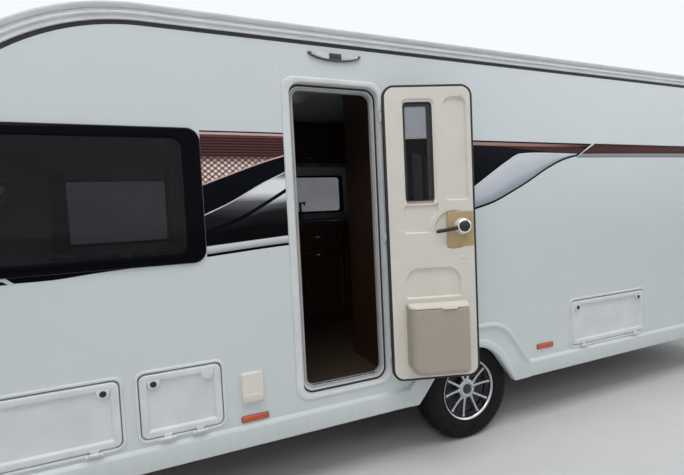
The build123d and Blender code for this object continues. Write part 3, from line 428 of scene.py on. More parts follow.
def even_path(points, count):
    """The same open path as evenly spaced places, each with its outward direction."""
    lengths = [0]
    for (p, _), (q, _) in zip(points, points[1:]):
        lengths.append(lengths[-1] + (q - p).length)
    found = []
    i = 0
    for k in range(count):
        want = lengths[-1] * k / (count - 1)
        while i < len(points) - 2 and lengths[i + 1] < want:
            i += 1
        (p, n), (q, m) = points[i], points[i + 1]
        t = (want - lengths[i]) / max(lengths[i + 1] - lengths[i], 1e-9)
        found.append((p.lerp(q, t), n.lerp(m, t).normalized()))
    return found


# Materials

# A noise that isn't stretched
EVEN = (1, 1, 1)


class Nodes:
    """Short calls for building one material's node tree."""

    def __init__(self, name):
        self.material = bpy.data.materials.new(name)
        self.material.use_nodes = True
        self.tree = self.material.node_tree
        self.shader = self.tree.nodes["Principled BSDF"]
        self.source = self.add("ShaderNodeTexCoord")
        self.place = self.source.outputs["Object"]

    def add(self, kind, **values):
        node = self.tree.nodes.new(kind)
        for key, value in values.items():
            setattr(node, key, value)
        return node

    def link(self, source, target):
        self.tree.links.new(source, target)

    def fill(self, node, **values):
        """Set a node's sockets by name, with a value or the output that feeds them."""
        for key, value in values.items():
            socket = node.inputs[key.replace("_", " ")]
            if isinstance(value, bpy.types.NodeSocket):
                self.link(value, socket)
            else:
                socket.default_value = value
        return node

    def set(self, **values):
        self.fill(self.shader, **values)

    def noise(self, scale, detail=4, stretch=EVEN, rough=0.5):
        """Noise factor over object places."""
        mapping = self.fill(self.add("ShaderNodeMapping"), Scale=stretch, Vector=self.place)
        node = self.fill(self.add("ShaderNodeTexNoise"), Scale=scale, Detail=detail, Roughness=rough,
                         Vector=mapping.outputs["Vector"])
        return node.outputs["Fac"]

    def wave(self, direction, scale, distortion=0):
        """Bands across one direction of object places."""
        node = self.add("ShaderNodeTexWave", wave_type="BANDS", bands_direction=direction)
        self.fill(node, Scale=scale, Distortion=distortion, Vector=self.place)
        return node.outputs["Fac"]

    def ramp(self, factor, *stops):
        """Colour ramp from a factor; stops are (position, colour)."""
        node = self.add("ShaderNodeValToRGB")
        while len(node.color_ramp.elements) < len(stops):
            node.color_ramp.elements.new(0.5)
        for element, (position, colour) in zip(node.color_ramp.elements, stops):
            element.position = position
            element.color = (*colour, 1)
        self.fill(node, Fac=factor)
        return node.outputs["Color"]

    def maths(self, operation, *values):
        node = self.add("ShaderNodeMath", operation=operation)
        for socket, value in zip(node.inputs, values):
            if isinstance(value, (int, float)):
                socket.default_value = value
            else:
                self.link(value, socket)
        return node.outputs[0]

    def parts(self, output):
        """The x, y and z shares of a place."""
        node = self.add("ShaderNodeSeparateXYZ")
        self.link(output, node.inputs[0])
        return node.outputs

    def mix(self, factor, first, second):
        node = self.add("ShaderNodeMix", data_type="RGBA", blend_type="MIX")
        for name, value in (("Factor", factor), ("A", first), ("B", second)):
            socket = [s for s in node.inputs if s.name == name and s.enabled][0]
            if isinstance(value, tuple):
                socket.default_value = (*value, 1)
            else:
                self.link(value, socket)
        return [s for s in node.outputs if s.enabled][0]

    def colour(self, output):
        self.link(output, self.shader.inputs["Base Color"])

    def roughness(self, factor, low, high):
        """Roughness from low to high by a factor."""
        node = self.add("ShaderNodeMapRange")
        self.fill(node, To_Min=low, To_Max=high, Value=factor)
        self.link(node.outputs["Result"], self.shader.inputs["Roughness"])

    def bump(self, height, depth, strength):
        """Bump of a given depth in metres from a 0..1 height."""
        node = self.fill(self.add("ShaderNodeBump"), Strength=strength, Distance=depth, Height=height)
        self.link(node.outputs["Normal"], self.shader.inputs["Normal"])


def tinted(colour, amount):
    """A colour made a little lighter or darker."""
    return tuple(max(0.0, min(1.0, c * amount)) for c in colour)


def surface(name, tone, stops, haze, rough, grain, depth, strength, **settings):
    """Material whose colour, roughness and bump follow noises: tone, haze and grain."""
    n = Nodes(name)
    n.colour(n.ramp(n.noise(*tone), *stops))
    n.roughness(n.noise(*haze), *rough)
    n.bump(n.noise(*grain), depth, strength)
    n.set(**settings)
    return n.material


def shades(colour, less, more):
    """Stops of one colour between two strengths."""
    return (0.3, tinted(colour, less)), (0.7, tinted(colour, more))


def painted_shell():
    """White body finish with a faint unevenness and grime that gathers low down."""
    n = Nodes("body_white")
    broad = n.ramp(n.noise(1.3, 3), *shades((0.715, 0.775, 0.79), 0.985, 1.015))
    low = n.maths("SUBTRACT", 0.55, n.maths("ADD", n.parts(n.place)["Z"], BALL_HEIGHT))
    streak = n.noise(26, 5, (1, 1, 0.08), 0.65)
    dirt = n.maths("MULTIPLY", n.maths("MAXIMUM", n.maths("MULTIPLY", low, 1.4), 0.03), streak)
    n.colour(n.mix(dirt, broad, (0.36, 0.34, 0.3)))
    n.roughness(n.noise(12, 3), 0.26, 0.32)
    n.set(Coat_Weight=0.12, Coat_Roughness=0.12)
    n.bump(n.noise(3, 2), 0.0006, 0.2)
    return n.material


def plastic(name, colour, rough=0.4, grain=900, depth=0.00012, shade=0.06):
    """Moulded plastic with a fine grain and slight shading."""
    return surface(name, (7, 5), shades(colour, 1 - shade, 1 + shade),
                   (40, 4), (rough - 0.06, rough + 0.08), (grain, 3), depth, 0.5)


def gloss_black():
    """Glossy black acrylic with fine dust."""
    n = Nodes("black_border")
    n.colour(n.ramp(n.noise(220, 6, rough=0.7), (0.45, (0.002, 0.002, 0.004)), (0.85, (0.01, 0.01, 0.013))))
    n.roughness(n.noise(14, 4), 0.08, 0.2)
    n.set(IOR=1.12)
    return n.material


def tinted_acrylic():
    """Dark tinted window acrylic, very slightly wavy."""
    return surface("window_acrylic", (5, 3), ((0.3, (0.15, 0.15, 0.16)), (0.7, (0.18, 0.18, 0.19))),
                   (30, 4), (0.015, 0.05), (5, 2), 0.0006, 0.4, Transmission_Weight=0.95, IOR=1.17)


def metal(name, colour, rough, grain, depth, mottled):
    """Bare or plated metal with mottling."""
    return surface(name, (45, 6, EVEN, 0.6), shades(colour, 1 - mottled, 1 + mottled),
                   (70, 5), (rough - 0.08, rough + 0.12), (grain, 4), depth, 0.6, Metallic=1.0)


def galvanised():
    """Hot-dip zinc with its crystal pattern."""
    n = Nodes("galvanised")
    cells = n.fill(n.add("ShaderNodeTexVoronoi"), Scale=55, Vector=n.place)
    grey = n.fill(n.add("ShaderNodeRGBToBW"), Color=cells.outputs["Color"]).outputs[0]
    n.colour(n.ramp(grey, (0.2, (0.36, 0.37, 0.38)), (0.8, (0.58, 0.59, 0.6))))
    n.set(Metallic=0.85)
    n.roughness(grey, 0.38, 0.62)
    n.bump(n.noise(160, 4), 0.0002, 0.5)
    return n.material


def tyre_rubber():
    """Tyre rubber, greyer where dust lies."""
    dusty = ((0.35, (0.006, 0.006, 0.007)), (0.8, (0.019, 0.018, 0.017)))
    return surface("tyre_rubber", (18, 6, EVEN, 0.65), dusty, (50, 4), (0.62, 0.85), (700, 4), 0.0003, 0.6,
                   IOR=1.25)


def laminate(name, dark, light):
    """Wood-grain laminate, grain running along x."""
    n = Nodes(name)
    grain = n.noise(9, 8, (0.5, 9, 9), 0.62)
    n.colour(n.ramp(grain, (0.32, dark), (0.7, light)))
    n.roughness(grain, 0.32, 0.46)
    n.bump(grain, 0.0002, 0.4)
    return n.material


def lens(name, colour):
    """Coloured lamp lens with fine prism ribs."""
    n = Nodes(name)
    n.colour(n.ramp(n.noise(30, 3), *shades(colour, 0.85, 1.1)))
    n.set(Transmission_Weight=0.25, IOR=1.49, Coat_Weight=0.6)
    n.roughness(n.noise(80, 3), 0.12, 0.2)
    n.bump(n.wave("X", 55), 0.0006, 0.5)
    return n.material


def fabric():
    """Woven upholstery with a soft check and sheen."""
    n = Nodes("upholstery")
    base = n.ramp(n.noise(16, 5), (0.3, (0.17, 0.145, 0.125)), (0.7, (0.25, 0.215, 0.185)))
    weave = n.maths("MULTIPLY", n.wave("X", 160, 1.5), n.wave("Z", 160, 1.5))
    n.colour(n.mix(n.maths("MULTIPLY", weave, 0.35), base, (0.1, 0.085, 0.075)))
    n.roughness(n.noise(90, 4), 0.82, 0.96)
    n.set(Sheen_Weight=0.35, Sheen_Roughness=0.4)
    n.bump(weave, 0.0006, 0.6)
    return n.material


def curtain_cloth():
    """Plain woven curtain, slightly sheer."""
    threads = ((0.3, (0.42, 0.39, 0.34)), (0.7, (0.58, 0.54, 0.48)))
    return surface("curtain_cloth", (220, 5, (1, 1, 0.06)), threads, (90, 4), (0.8, 0.95),
                   (900, 3, (1, 1, 0.3)), 0.0003, 0.5, Sheen_Weight=0.3, Sheen_Roughness=0.5)


def rubber_seal():
    """Matt black rubber."""
    return surface("rubber_seal", (60, 5), ((0.3, (0.01, 0.01, 0.011)), (0.8, (0.026, 0.026, 0.027))),
                   (80, 3), (0.55, 0.72), (600, 3), 0.0001, 0.4)


def rail_insert():
    """Pale ribbed insert of the edge rail."""
    return surface("rail_insert", (120, 4), ((0.3, (0.64, 0.65, 0.66)), (0.7, (0.76, 0.77, 0.78))),
                   (90, 4), (0.35, 0.5), (500, 3), 0.0001, 0.4)


def chrome():
    """Bright plating with faint haze."""
    return surface("chrome", (30, 4), ((0.3, (0.72, 0.73, 0.75)), (0.7, (0.84, 0.85, 0.86))),
                   (60, 5), (0.06, 0.18), (40, 3), 0.0001, 0.2, Metallic=1.0)


def film(name, stops, rough=0.16, wander=0.04, lean=None):
    """Printed vinyl graded from its foot up or, where it leans, along it; stops are (share, colour)."""
    n = Nodes(name)
    share = n.parts(n.source.outputs["UV"])
    if lean is None:
        graded = n.maths("MULTIPLY_ADD", n.noise(2.2, 2), wander, n.maths("SUBTRACT", share["Y"], wander / 2))
    else:
        edge = n.maths("MULTIPLY_ADD", n.maths("SUBTRACT", 1.0, share["Y"]), lean, share["X"])
        graded = n.maths("MULTIPLY_ADD", n.noise(3.0, 2), wander, n.maths("SUBTRACT", edge, wander / 2))
    n.colour(n.ramp(graded, *stops))
    n.roughness(n.noise(40, 4), rough, rough + 0.12)
    n.set(IOR=1.12)
    n.bump(n.noise(7, 2), 0.0004, 0.2)
    return n.material


def diamond_film():
    """Maroon field of fine lines, paler along its top, with a net of bright diamonds at its foot."""
    black, white = (0, 0, 0), (1, 1, 1)
    diamond_long, diamond_tall, line_pitch = 0.033, 0.027, 0.007
    n = Nodes("diamond_film")
    share = n.parts(n.place)
    x = n.maths("MULTIPLY", share["X"], 1 / diamond_long)
    z = n.maths("MULTIPLY", share["Z"], 1 / diamond_tall)
    waves = []
    for value in (n.maths("ADD", x, z), n.maths("SUBTRACT", x, z)):
        away = n.maths("ABSOLUTE", n.maths("SUBTRACT", n.maths("FRACT", value), 0.5))
        waves.append(n.maths("SUBTRACT", 1.0, n.maths("MULTIPLY", away, 2.0)))
    diamonds = n.maths("MULTIPLY", *waves)
    lines = n.maths("MULTIPLY", n.maths("PINGPONG", share["Z"], line_pitch), 1 / line_pitch)
    ground = n.ramp(lines, (0.15, (0.04, 0.013, 0.013)), (0.75, (0.115, 0.052, 0.05)))
    height = n.maths("MULTIPLY_ADD", share["Z"], 5.0, -6.55)
    ground = n.mix(n.ramp(height, (0.8, black), (0.97, white)), ground, (0.24, 0.13, 0.12))
    ground = n.mix(n.ramp(height, (0.12, white), (0.34, black)), ground, (0.2, 0.1, 0.095))
    spots = n.maths("MULTIPLY", n.ramp(diamonds, (0.1, black), (0.34, white)),
                    n.ramp(height, (0.14, white), (0.36, black)))
    n.colour(n.mix(spots, ground, (0.95, 0.82, 0.74)))
    n.roughness(n.noise(40, 4), 0.2, 0.34)
    n.set(IOR=1.12)
    n.bump(diamonds, 0.0003, 0.3)
    return n.material


# Colour, roughness, grain of the surface, its depth and how mottled the colour is
PLASTICS = {
    "trim_white": ((0.77, 0.79, 0.8), 0.38),
    "cream_plastic": ((0.8, 0.765, 0.69), 0.42, 700, 0.0002, 0.03),
    # Bin: the lid's cream plastic darkened as a painted shade of the bin's front
    "bin_plastic": ((0.46, 0.405, 0.335), 0.45, 700, 0.0002, 0.03),
    "tan_plastic": ((0.5, 0.38, 0.2), 0.4, 700, 0.0002),
    "blind": ((0.33, 0.345, 0.39), 0.6, 500, 0.0002),
    "lock_black": ((0.015, 0.015, 0.017), 0.35, 500, 0.0001, 0.2),
    "dark_plastic": ((0.035, 0.035, 0.038), 0.5, 500, 0.0003, 0.2),
    # Grey trim: a real grey liner, its grey partly a painted shade of reveals and gaps
    "trim_grey": ((0.44, 0.43, 0.42), 0.45, 500, 0.0002, 0.05),
    "lamp_grey": ((0.085, 0.088, 0.095), 0.4, 500, 0.0002, 0.1),
    "grey_plastic": ((0.3, 0.31, 0.33), 0.5, 500, 0.0003, 0.1),
    "black_metal": ((0.022, 0.022, 0.024), 0.38, 260, 0.0003, 0.25),
    "piping": ((0.06, 0.05, 0.045), 0.7, 900, 0.0002, 0.2),
    "worktop": ((0.1, 0.09, 0.082), 0.3, 300, 0.0001, 0.25),
}
METALS = {
    "alloy": ((0.52, 0.53, 0.55), 0.24, 500, 0.00003, 0.03),
    "zinc": ((0.62, 0.63, 0.65), 0.34, 300, 0.0001, 0.1),
}
LAMINATES = {
    # Board: wood colours darkened as a painted shade of the dim room inside
    "board": ((0.032, 0.014, 0.008), (0.07, 0.033, 0.017)),
    "floor": ((0.055, 0.038, 0.027), (0.12, 0.088, 0.062)),
}
# Stops of colour, then roughness, how far the stops wander and, along the film, their lean
FILMS = {
    "film_black": (((0.0, (0.002, 0.003, 0.005)), (0.6, (0.003, 0.004, 0.008)), (1.0, (0.006, 0.006, 0.011))),
                   0.12),
    "film_pink": (((0.0, (0.55, 0.36, 0.35)), (1.0, (0.8, 0.62, 0.6))),),
    "film_white": (((0.0, (0.6, 0.61, 0.63)), (1.0, (0.8, 0.81, 0.82))),),
    "film_silver": (((0.0, (0.33, 0.34, 0.38)), (0.35, (0.6, 0.66, 0.74)), (0.8, (0.74, 0.77, 0.82)),
                     (1.0, (0.86, 0.87, 0.9))), 0.18, 0.1),
    "film_line": (((0.0, (0.3, 0.31, 0.33)), (0.35, (0.55, 0.57, 0.6)), (0.62, (0.68, 0.7, 0.72)),
                   (0.85, (0.8, 0.81, 0.82)), (1.0, (0.6, 0.61, 0.63))),),
    "film_maroon": (((0.0, (0.06, 0.03, 0.03)), (0.5, (0.1, 0.03, 0.03)),
                     (1.0, (0.045, 0.018, 0.02))),),
    "film_grey": (((0.0, (0.24, 0.25, 0.26)), (1.0, (0.42, 0.43, 0.44))),),
    "film_fade_one": (((0.0, (0.1, 0.1, 0.12)), (0.17, (0.22, 0.23, 0.26)), (0.27, (0.92, 0.94, 0.96)),
                       (0.5, (0.92, 0.94, 0.96)), (0.66, (0.14, 0.14, 0.15)), (0.85, (0.04, 0.04, 0.045)),
                       (1.0, (0.012, 0.012, 0.014))), 0.16, 0.05, 0.34),
    "film_fade_two": (((0.0, (0.92, 0.94, 0.96)), (0.2, (0.8, 0.82, 0.84)), (0.36, (0.12, 0.12, 0.13)),
                       (0.55, (0.016, 0.016, 0.018)), (1.0, (0.003, 0.003, 0.004))), 0.16, 0.05, 1.1),
    "film_glow": (((0.0, (0.1, 0.035, 0.035)), (0.2, (0.34, 0.19, 0.16)), (0.7, (0.52, 0.35, 0.31)),
                   (1.0, (0.66, 0.5, 0.47))), 0.16, 0.05, -0.1),
}
MATERIALS = {
    "body_white": painted_shell(),
    "black_plastic": gloss_black(),
    "seal": rubber_seal(),
    "rail_insert": rail_insert(),
    "window": tinted_acrylic(),
    "galvanised": galvanised(),
    "chrome": chrome(),
    "tyre": tyre_rubber(),
    "upholstery": fabric(),
    "curtain": curtain_cloth(),
    "amber": lens("amber_lens", (0.85, 0.11, 0.015)),
    "red_lens": lens("red_lens", (0.45, 0.008, 0.01)),
    "clear_lens": lens("clear_lens", (0.93, 0.93, 0.93)),
    "film_diamond": diamond_film(),
}
for maker, table in ((plastic, PLASTICS), (metal, METALS), (laminate, LAMINATES), (film, FILMS)):
    MATERIALS.update({name: maker(name, *values) for name, values in table.items()})

# Slots of the finishes whose slot has another name
SLOTS = {
    "seal": "dark_plastic", "rail_insert": "trim_white", "lock_black": "black_plastic",
    "bin_plastic": "cream_plastic", "tan_plastic": "cream_plastic", "blind": "grey_plastic",
    "trim_grey": "grey_plastic", "lamp_grey": "zinc", "black_metal": "alloy", "chrome": "zinc",
    "piping": "upholstery", "curtain": "upholstery",
}


# Outer body pieces

SIDES = ((1, "near"), (-1, "off"))
# Mouldings in section: distance in from the edge, and height out of the wall
RAIL = (
    (0, -0.03), (0, 0.018), (0.002, 0.023), (0.006, 0.0245), (0.012, 0.0235), (0.02, 0.0205),
    (0.0245, 0.016), (0.025, 0.01), (0.036, 0.0095), (0.037, 0.014), (0.039, 0.0175),
    (0.044, 0.019), (0.05, 0.0175), (0.0525, 0.013), (0.053, 0.009), (0.066, 0.0085),
    (0.07, 0.01), (0.073, 0.009), (0.074, 0.0),
)
# Black sealant line under the rail, widened as a painted shadow of the rail's overhang
RAIL_SEAL_AND_SHADOW = ((0.0735, 0), (0.0735, 0.0026), (0.078, 0.0028), (0.092, 0.0008), (0.0925, 0))
# Insert: distance in from the edge, and share of the height of its ribs
RAIL_INSERT = ((0.0256, 0), (0.0262, 0.7), (0.0305, 1), (0.0348, 0.7), (0.0354, 0))


def edge_rails():
    """Moulding round the joint of each side wall, its ribbed insert, and its black sealant line, widened as a
    painted shadow under the rail.
    """
    path = subdivided(clipped(rounded(BODY, 0.02), SKIRT_TOP), 0.05)
    fine = subdivided(path, 0.016)
    for side, label in SIDES:
        place = side_place(side)
        rail, seal, insert = Form(), Form(), Form()
        rail.rows(swept(path, RAIL, place), closed=False)
        rail.piece("edge_rail_" + label, "trim_white", replaces=("edge_rails",))
        # Black sealant line, widened as a painted shadow under the rail
        seal.rows(swept(path, RAIL_SEAL_AND_SHADOW, place), closed=False)
        seal.piece("edge_rail_seal_" + label, "seal")
        rows = []
        for inset, share in RAIL_INSERT:
            crests = [lerp(0.0096, 0.0145 if k % 2 else 0.0112, share) for k in range(len(fine))]
            rows.append([place(*(p - out * inset), crest) for (p, out), crest in zip(fine, crests)])
        insert.rows(rows, closed=False)
        insert.piece("edge_rail_insert_" + label, "rail_insert")


# Skirt in section: distance out of the wall, and height above the ground
SKIRT = (
    (0, 0.342), (0.011, 0.342), (0.0135, 0.344), (0.0145, 0.348), (0.0155, 0.436), (0.0145, 0.441),
    (0.012, 0.4445), (0.004, 0.4555), (0.002, 0.458), (0, 0.458),
)
# Spat: height at distances in from its outer edge, and out from the wheel opening
SPAT_OUTER = ((0, 0), (0.001, 0.016), (0.006, 0.023), (0.016, 0.026), (0.026, 0.0245), (0.034, 0.018),
              (0.04, 0.0125))
SPAT_INNER = ((0.056, 0.0108), (0.05, 0.0125), (0.045, 0.0175), (0.038, 0.02), (0.02, 0.0215),
              (0.006, 0.019), (0, 0.012), (0, -0.02))
SPAT_LIP = 0.045
SPAT_HALF = 0.4692


def eased(p, height):
    """Height of the spat, which runs flush into the skirt's face near its foot."""
    return lerp(0.0158, height, smooth(p.y, 0.425, 0.5)) if height > 0 else height


def lip_height(p, height):
    """Height of the spat's lip, flush with the skirt at its foot."""
    return min(height, lerp(0.016, 0.03, smooth(p.y, SKIRT_FOOT, 0.5))) if height > 0.013 else height


def beside(p, out, by):
    """Place beside a line of the spat; near the foot it lies level with its own, and closer to it."""
    share = smooth(p.y, 0.35, 0.48)
    level = Vector((math.copysign(1 / max(abs(out.x), 0.5), out.x), 0))
    return p + level.lerp(out, share) * (by * lerp(0.42, 1, share))


def skirts():
    """Lower mouldings of each side and the spat round each wheel opening."""
    outer = even_path(rounded(SPAT[::-1], 0.02, closed=False), 90)
    inner = even_path(clipped(rounded(ARCH[::-1], 0.02, closed=False), SKIRT_FOOT), 90)
    for side, label in SIDES:
        place = side_place(side)
        form = Form()
        for x0, x1 in ((REAR_X + 0.06, -SPAT_HALF), (SPAT_HALF, FRONT_X - 0.09)):
            form.solid([[place(x, z, out) for out, z in SKIRT] for x in spread_over(x0, x1, 0.3)])
        form.piece("skirt_" + label, "body_white", replaces=("side_skirts",), smooth_to=50)
        spat = Form()
        rows = [[place(*beside(p, out, -inset), eased(p, height)) for p, out in outer]
                for inset, height in SPAT_OUTER]
        for share in (0.25, 0.5, 0.75):
            middle = [beside(p, out, -0.04).lerp(beside(q, away, 0.056), share)
                      for (p, out), (q, away) in zip(outer, inner)]
            rows.append([place(*here, eased(here, 0.0102)) for here in middle])
        for grow, height in SPAT_INNER:
            level = eased if grow > SPAT_LIP else lip_height
            rows.append([place(*beside(q, away, grow), level(q, height)) for q, away in inner])
        spat.rows(rows, closed=False)
        spat.piece("wheel_spat_" + label, "body_white", replaces=("side_skirts",), smooth_to=50)


WINDOW_RUBBER = ((0, 0), (-0.0015, 0.001), (-0.002, 0.004), (0, 0.0075), (0.003, 0.008), (0.004, 0.006))
BORDER_OUTER = ((0.0015, 0.002), (0.0015, 0.009), (0.003, 0.0115), (0.006, 0.0128), (0.02, 0.0138))
BORDER_INNER = ((-0.01, 0.0138), (-0.003, 0.0132), (0, 0.012), (0, 0.002))
# Pane: height at shares of the way from its edge to its middle
WINDOW_PANE = ((0, 0.001), (0, 0.0112), (0.02, 0.0119), (0.3, 0.0124), (0.7, 0.0128), (0.985, 0.013))


def side_windows():
    """Bonded acrylic windows: glossy border, pane a little lower, and the rubber round them."""
    bx, bz = WINDOW_BORDER
    for k, (x0, x1, z0, z1, radius, side) in enumerate(WINDOWS):
        place = side_place(side)
        whole = (x0, x1, z0, z1, radius)
        clear = (x0 + bx, x1 - bx, z0 + bz, z1 - bz, radius - 0.015)
        rim, border, pane = Form(), Form(), Form()
        rim.framed(place, (whole, WINDOW_RUBBER))
        rim.piece(f"window_rubber_{k}", "seal")
        border.framed(place, (whole, BORDER_OUTER), (clear, BORDER_INNER))
        border.piece(f"window_border_{k}", "black_plastic", replaces=("side_window_borders",))
        a0, a1, b0, b1, r = clear
        rows = []
        for share, height in WINDOW_PANE:
            da, db = share * (a1 - a0) / 2, share * (b1 - b0) / 2
            shrunk = box_corners(a0 + da, a1 - da, b0 + db, b1 - db, max(r * (1 - share), 0.002))
            rows.append([place(*p, height) for p, _ in rounded(shrunk, arcs=10)])
        pane.solid(rows)
        pane.piece(f"window_pane_{k}", "window", replaces=("side_window_panes",))


# Hinges have a knuckle on the leaf between two fixed ones
KNUCKLE = 0.037
KNUCKLE_FIXED = 0.014
KNUCKLE_ENDS = (-0.028, 0.028)
LOCKER_RING = ((0, -0.03), (0, 0.005), (0.0015, 0.0073), (0.004, 0.008), (0.011, 0.008), (0.0135, 0.0065),
               (0.014, 0.004), (0.014, -0.03))
LOCKER_LEAF = ((0, -0.012), (0, 0.0045), (0.0015, 0.007), (0.005, 0.0088), (0.012, 0.0094), (0.026, 0.0094),
               (0.03, 0.0084), (0.0335, 0.005), (0.0375, -0.004), (0.04, -0.0045))
LOCKER_LOCK = ((0, POINT), (0, 0.0145), (0.003, 0.0145), (0.004, 0.0135), (0.004, 0.0105),
               (0.0025, 0.0098), (0.0025, 0.003), (0.0035, 0.0024), (0.0035, POINT))


def locker_door(name, place, side, leaf, blacks):
    """Pressed locker door with a lug and a lock at each upper corner."""
    a0, a1, _, b1, _ = leaf
    z, body = b1 - 0.046, name + "_door"
    lock_places = (a0 + 0.062, a1 - 0.062)
    door = Form()
    door.lofted(leaf, LOCKER_LEAF, place)
    for x in lock_places:
        lug = [(x - 0.022, z - 0.022, 0.0215), (x + 0.022, z - 0.022, 0.0215)]
        lug += [(x + 0.03, b1 - 0.026, 0.003), (x - 0.03, b1 - 0.026, 0.003)]
        door.plate(lug, place, -0.005, 0.0093, 0.003, 0.004)
    door.piece(body + "_leaf", "trim_white", body, (body,), 50)
    for k, (x, black) in enumerate(zip(lock_places, blacks)):
        lock = Form()
        lock.spun(place(x, z, 0.007), (0, side, 0), LOCKER_LOCK, 28)
        lock.piece(f"{name}_lock_{k}", "lock_black" if black else "cream_plastic", body, slot="black_plastic")


def lockers():
    """Locker rings and doors, with the hinges along their foot."""
    fixed = {1: Form(), -1: Form()}
    for name, x0, x1, z0, z1, side, blacks in LOCKERS:
        place = side_place(side)
        whole = (x0, x1, z0, z1, 0.045)
        fixed[side].framed(place, (whole, LOCKER_RING))
        shadow, moving = Form(), Form()
        # Strip at the floor of the gap round the door, grey as a painted shade of the gap
        shadow.framed(place, (whole, ((0.0139, -0.028), (0.0139, -0.016), (0.026, -0.016), (0.026, -0.028))))
        shadow.piece(name + "_seal", "trim_grey")
        foot = z0 + 0.019
        locker_door(name, place, side, (x0 + 0.019, x1 - 0.019, foot, z1 - 0.022, 0.03), blacks)
        for x in (x0 + 0.13, x1 - 0.13):
            centre = at(x, side * (FACE_Y + 0.012), foot - 0.008)
            moving.barrel(centre, (1, 0, 0), KNUCKLE)
            moving.block(place, x - 0.018, x + 0.018, foot - 0.008, foot + 0.01, 0.007, 0.0135, 0.0015)
            for end in KNUCKLE_ENDS:
                a, b = x + end, foot - 0.018
                fixed[side].barrel(centre + Vector((end, 0, 0)), (1, 0, 0), KNUCKLE_FIXED)
                fixed[side].block(place, a - 0.007, a + 0.007, b, foot - 0.007, 0.002, 0.02, 0.0015)
        moving.piece(name + "_hinges", "trim_white", name + "_door")
    for side, label in SIDES:
        fixed[side].piece("locker_rings_" + label, "trim_white", replaces=("locker_frames",), smooth_to=45)


def reflectors():
    """Amber reflectors on their dark bases, two on each side."""
    for side, label in SIDES:
        place = side_place(side)
        base, glass = Form(), Form()
        for x0, x1, z0, z1 in ((1.32, 1.462, 0.468, 0.503), (-0.702, -0.547, 0.51, 0.547)):
            base.plate(box_corners(x0, x1, z0, z1, 0.01), place, 0.0, 0.0035, 0.001, 0.004)
            glass.lofted((x0 + 0.002, x1 - 0.002, z0 + 0.002, z1 - 0.002, 0.012), (
                (0, 0.003), (0, 0.0055), (0.002, 0.0075), (0.005, 0.0087), (0.011, 0.009)), place, 6)
        base.piece("reflector_base_" + label, "dark_plastic")
        glass.piece("reflector_" + label, "amber", replaces=("side_reflectors",))


LAMP_REAR = 0.7
LAMP_LONG = 0.317
LAMP_TOP = 2.36


def lamp_plate(form, x0, x1, up, top, low, high):
    """Plate of the awning lamp, whose lower edge is curved."""
    corners = []
    for x in spread_over(x0, x1, 0.03):
        drop = 0.04 * math.sin(math.pi * (x - LAMP_REAR) / LAMP_LONG) ** 0.5
        corners.append((x, LAMP_TOP - drop + up, 0.004))
    form.plate(corners + [(x1, top, 0.003), (x0, top, 0.003)], side_place(1), low, high, 0.002, 0.004)


def awning_lamp():
    """Awning lamp over the doorway: grey bowl, two clear lenses and a dark middle."""
    bowl, middle, glass = Form(), Form(), Form()
    lamp_plate(bowl, 0.706, 1.011, 0.0, LAMP_TOP, 0.0, 0.013)
    bowl.piece("awning_lamp_bowl", "lamp_grey", replaces=("awning_lamp",))
    middle.plate(box_corners(0.826, 0.891, 2.337, 2.359, 0.003), side_place(1), 0.01, 0.0165, 0.001, 0.003)
    middle.piece("awning_lamp_sensor", "dark_plastic")
    for x0, x1 in ((0.726, 0.823), (0.894, 0.991)):
        lamp_plate(glass, x0, x1, 0.0055, LAMP_TOP - 0.001, 0.01, 0.017)
    glass.piece("awning_lamp_lenses", "clear_lens")


def socket_cover():
    """Mains socket box with its flap; it thins towards its top."""
    box = Form()
    place = side_place(1)
    box.lofted((1.342, 1.453, 0.575, 0.725, 0.014), (
        (0, 0), (0, 0.02), (0.0015, 0.0235), (0.005, 0.0255), (0.01, 0.026), (0.02, 0.0262)),
        lambda a, b, h: place(a, b, h - 0.01 * smooth(0.725 - b, 0.1, 0.0)), 6)
    flap = ((1.352, 0.584, 0.006), (1.3975, 0.578, 0.004), (1.443, 0.584, 0.006), (1.443, 0.612, 0.006),
            (1.3975, 0.622, 0.01), (1.352, 0.612, 0.006))
    box.plate(flap, place, 0.024, 0.0285, 0.0015, 0.004)
    box.piece("socket_cover", "cream_plastic", replaces=("socket_box",))


DOOR_HINGES = (LEAF_FOOT + 0.149, LEAF_FOOT + LEAF_TALL / 2, LEAF_FOOT + LEAF_TALL - 0.15)


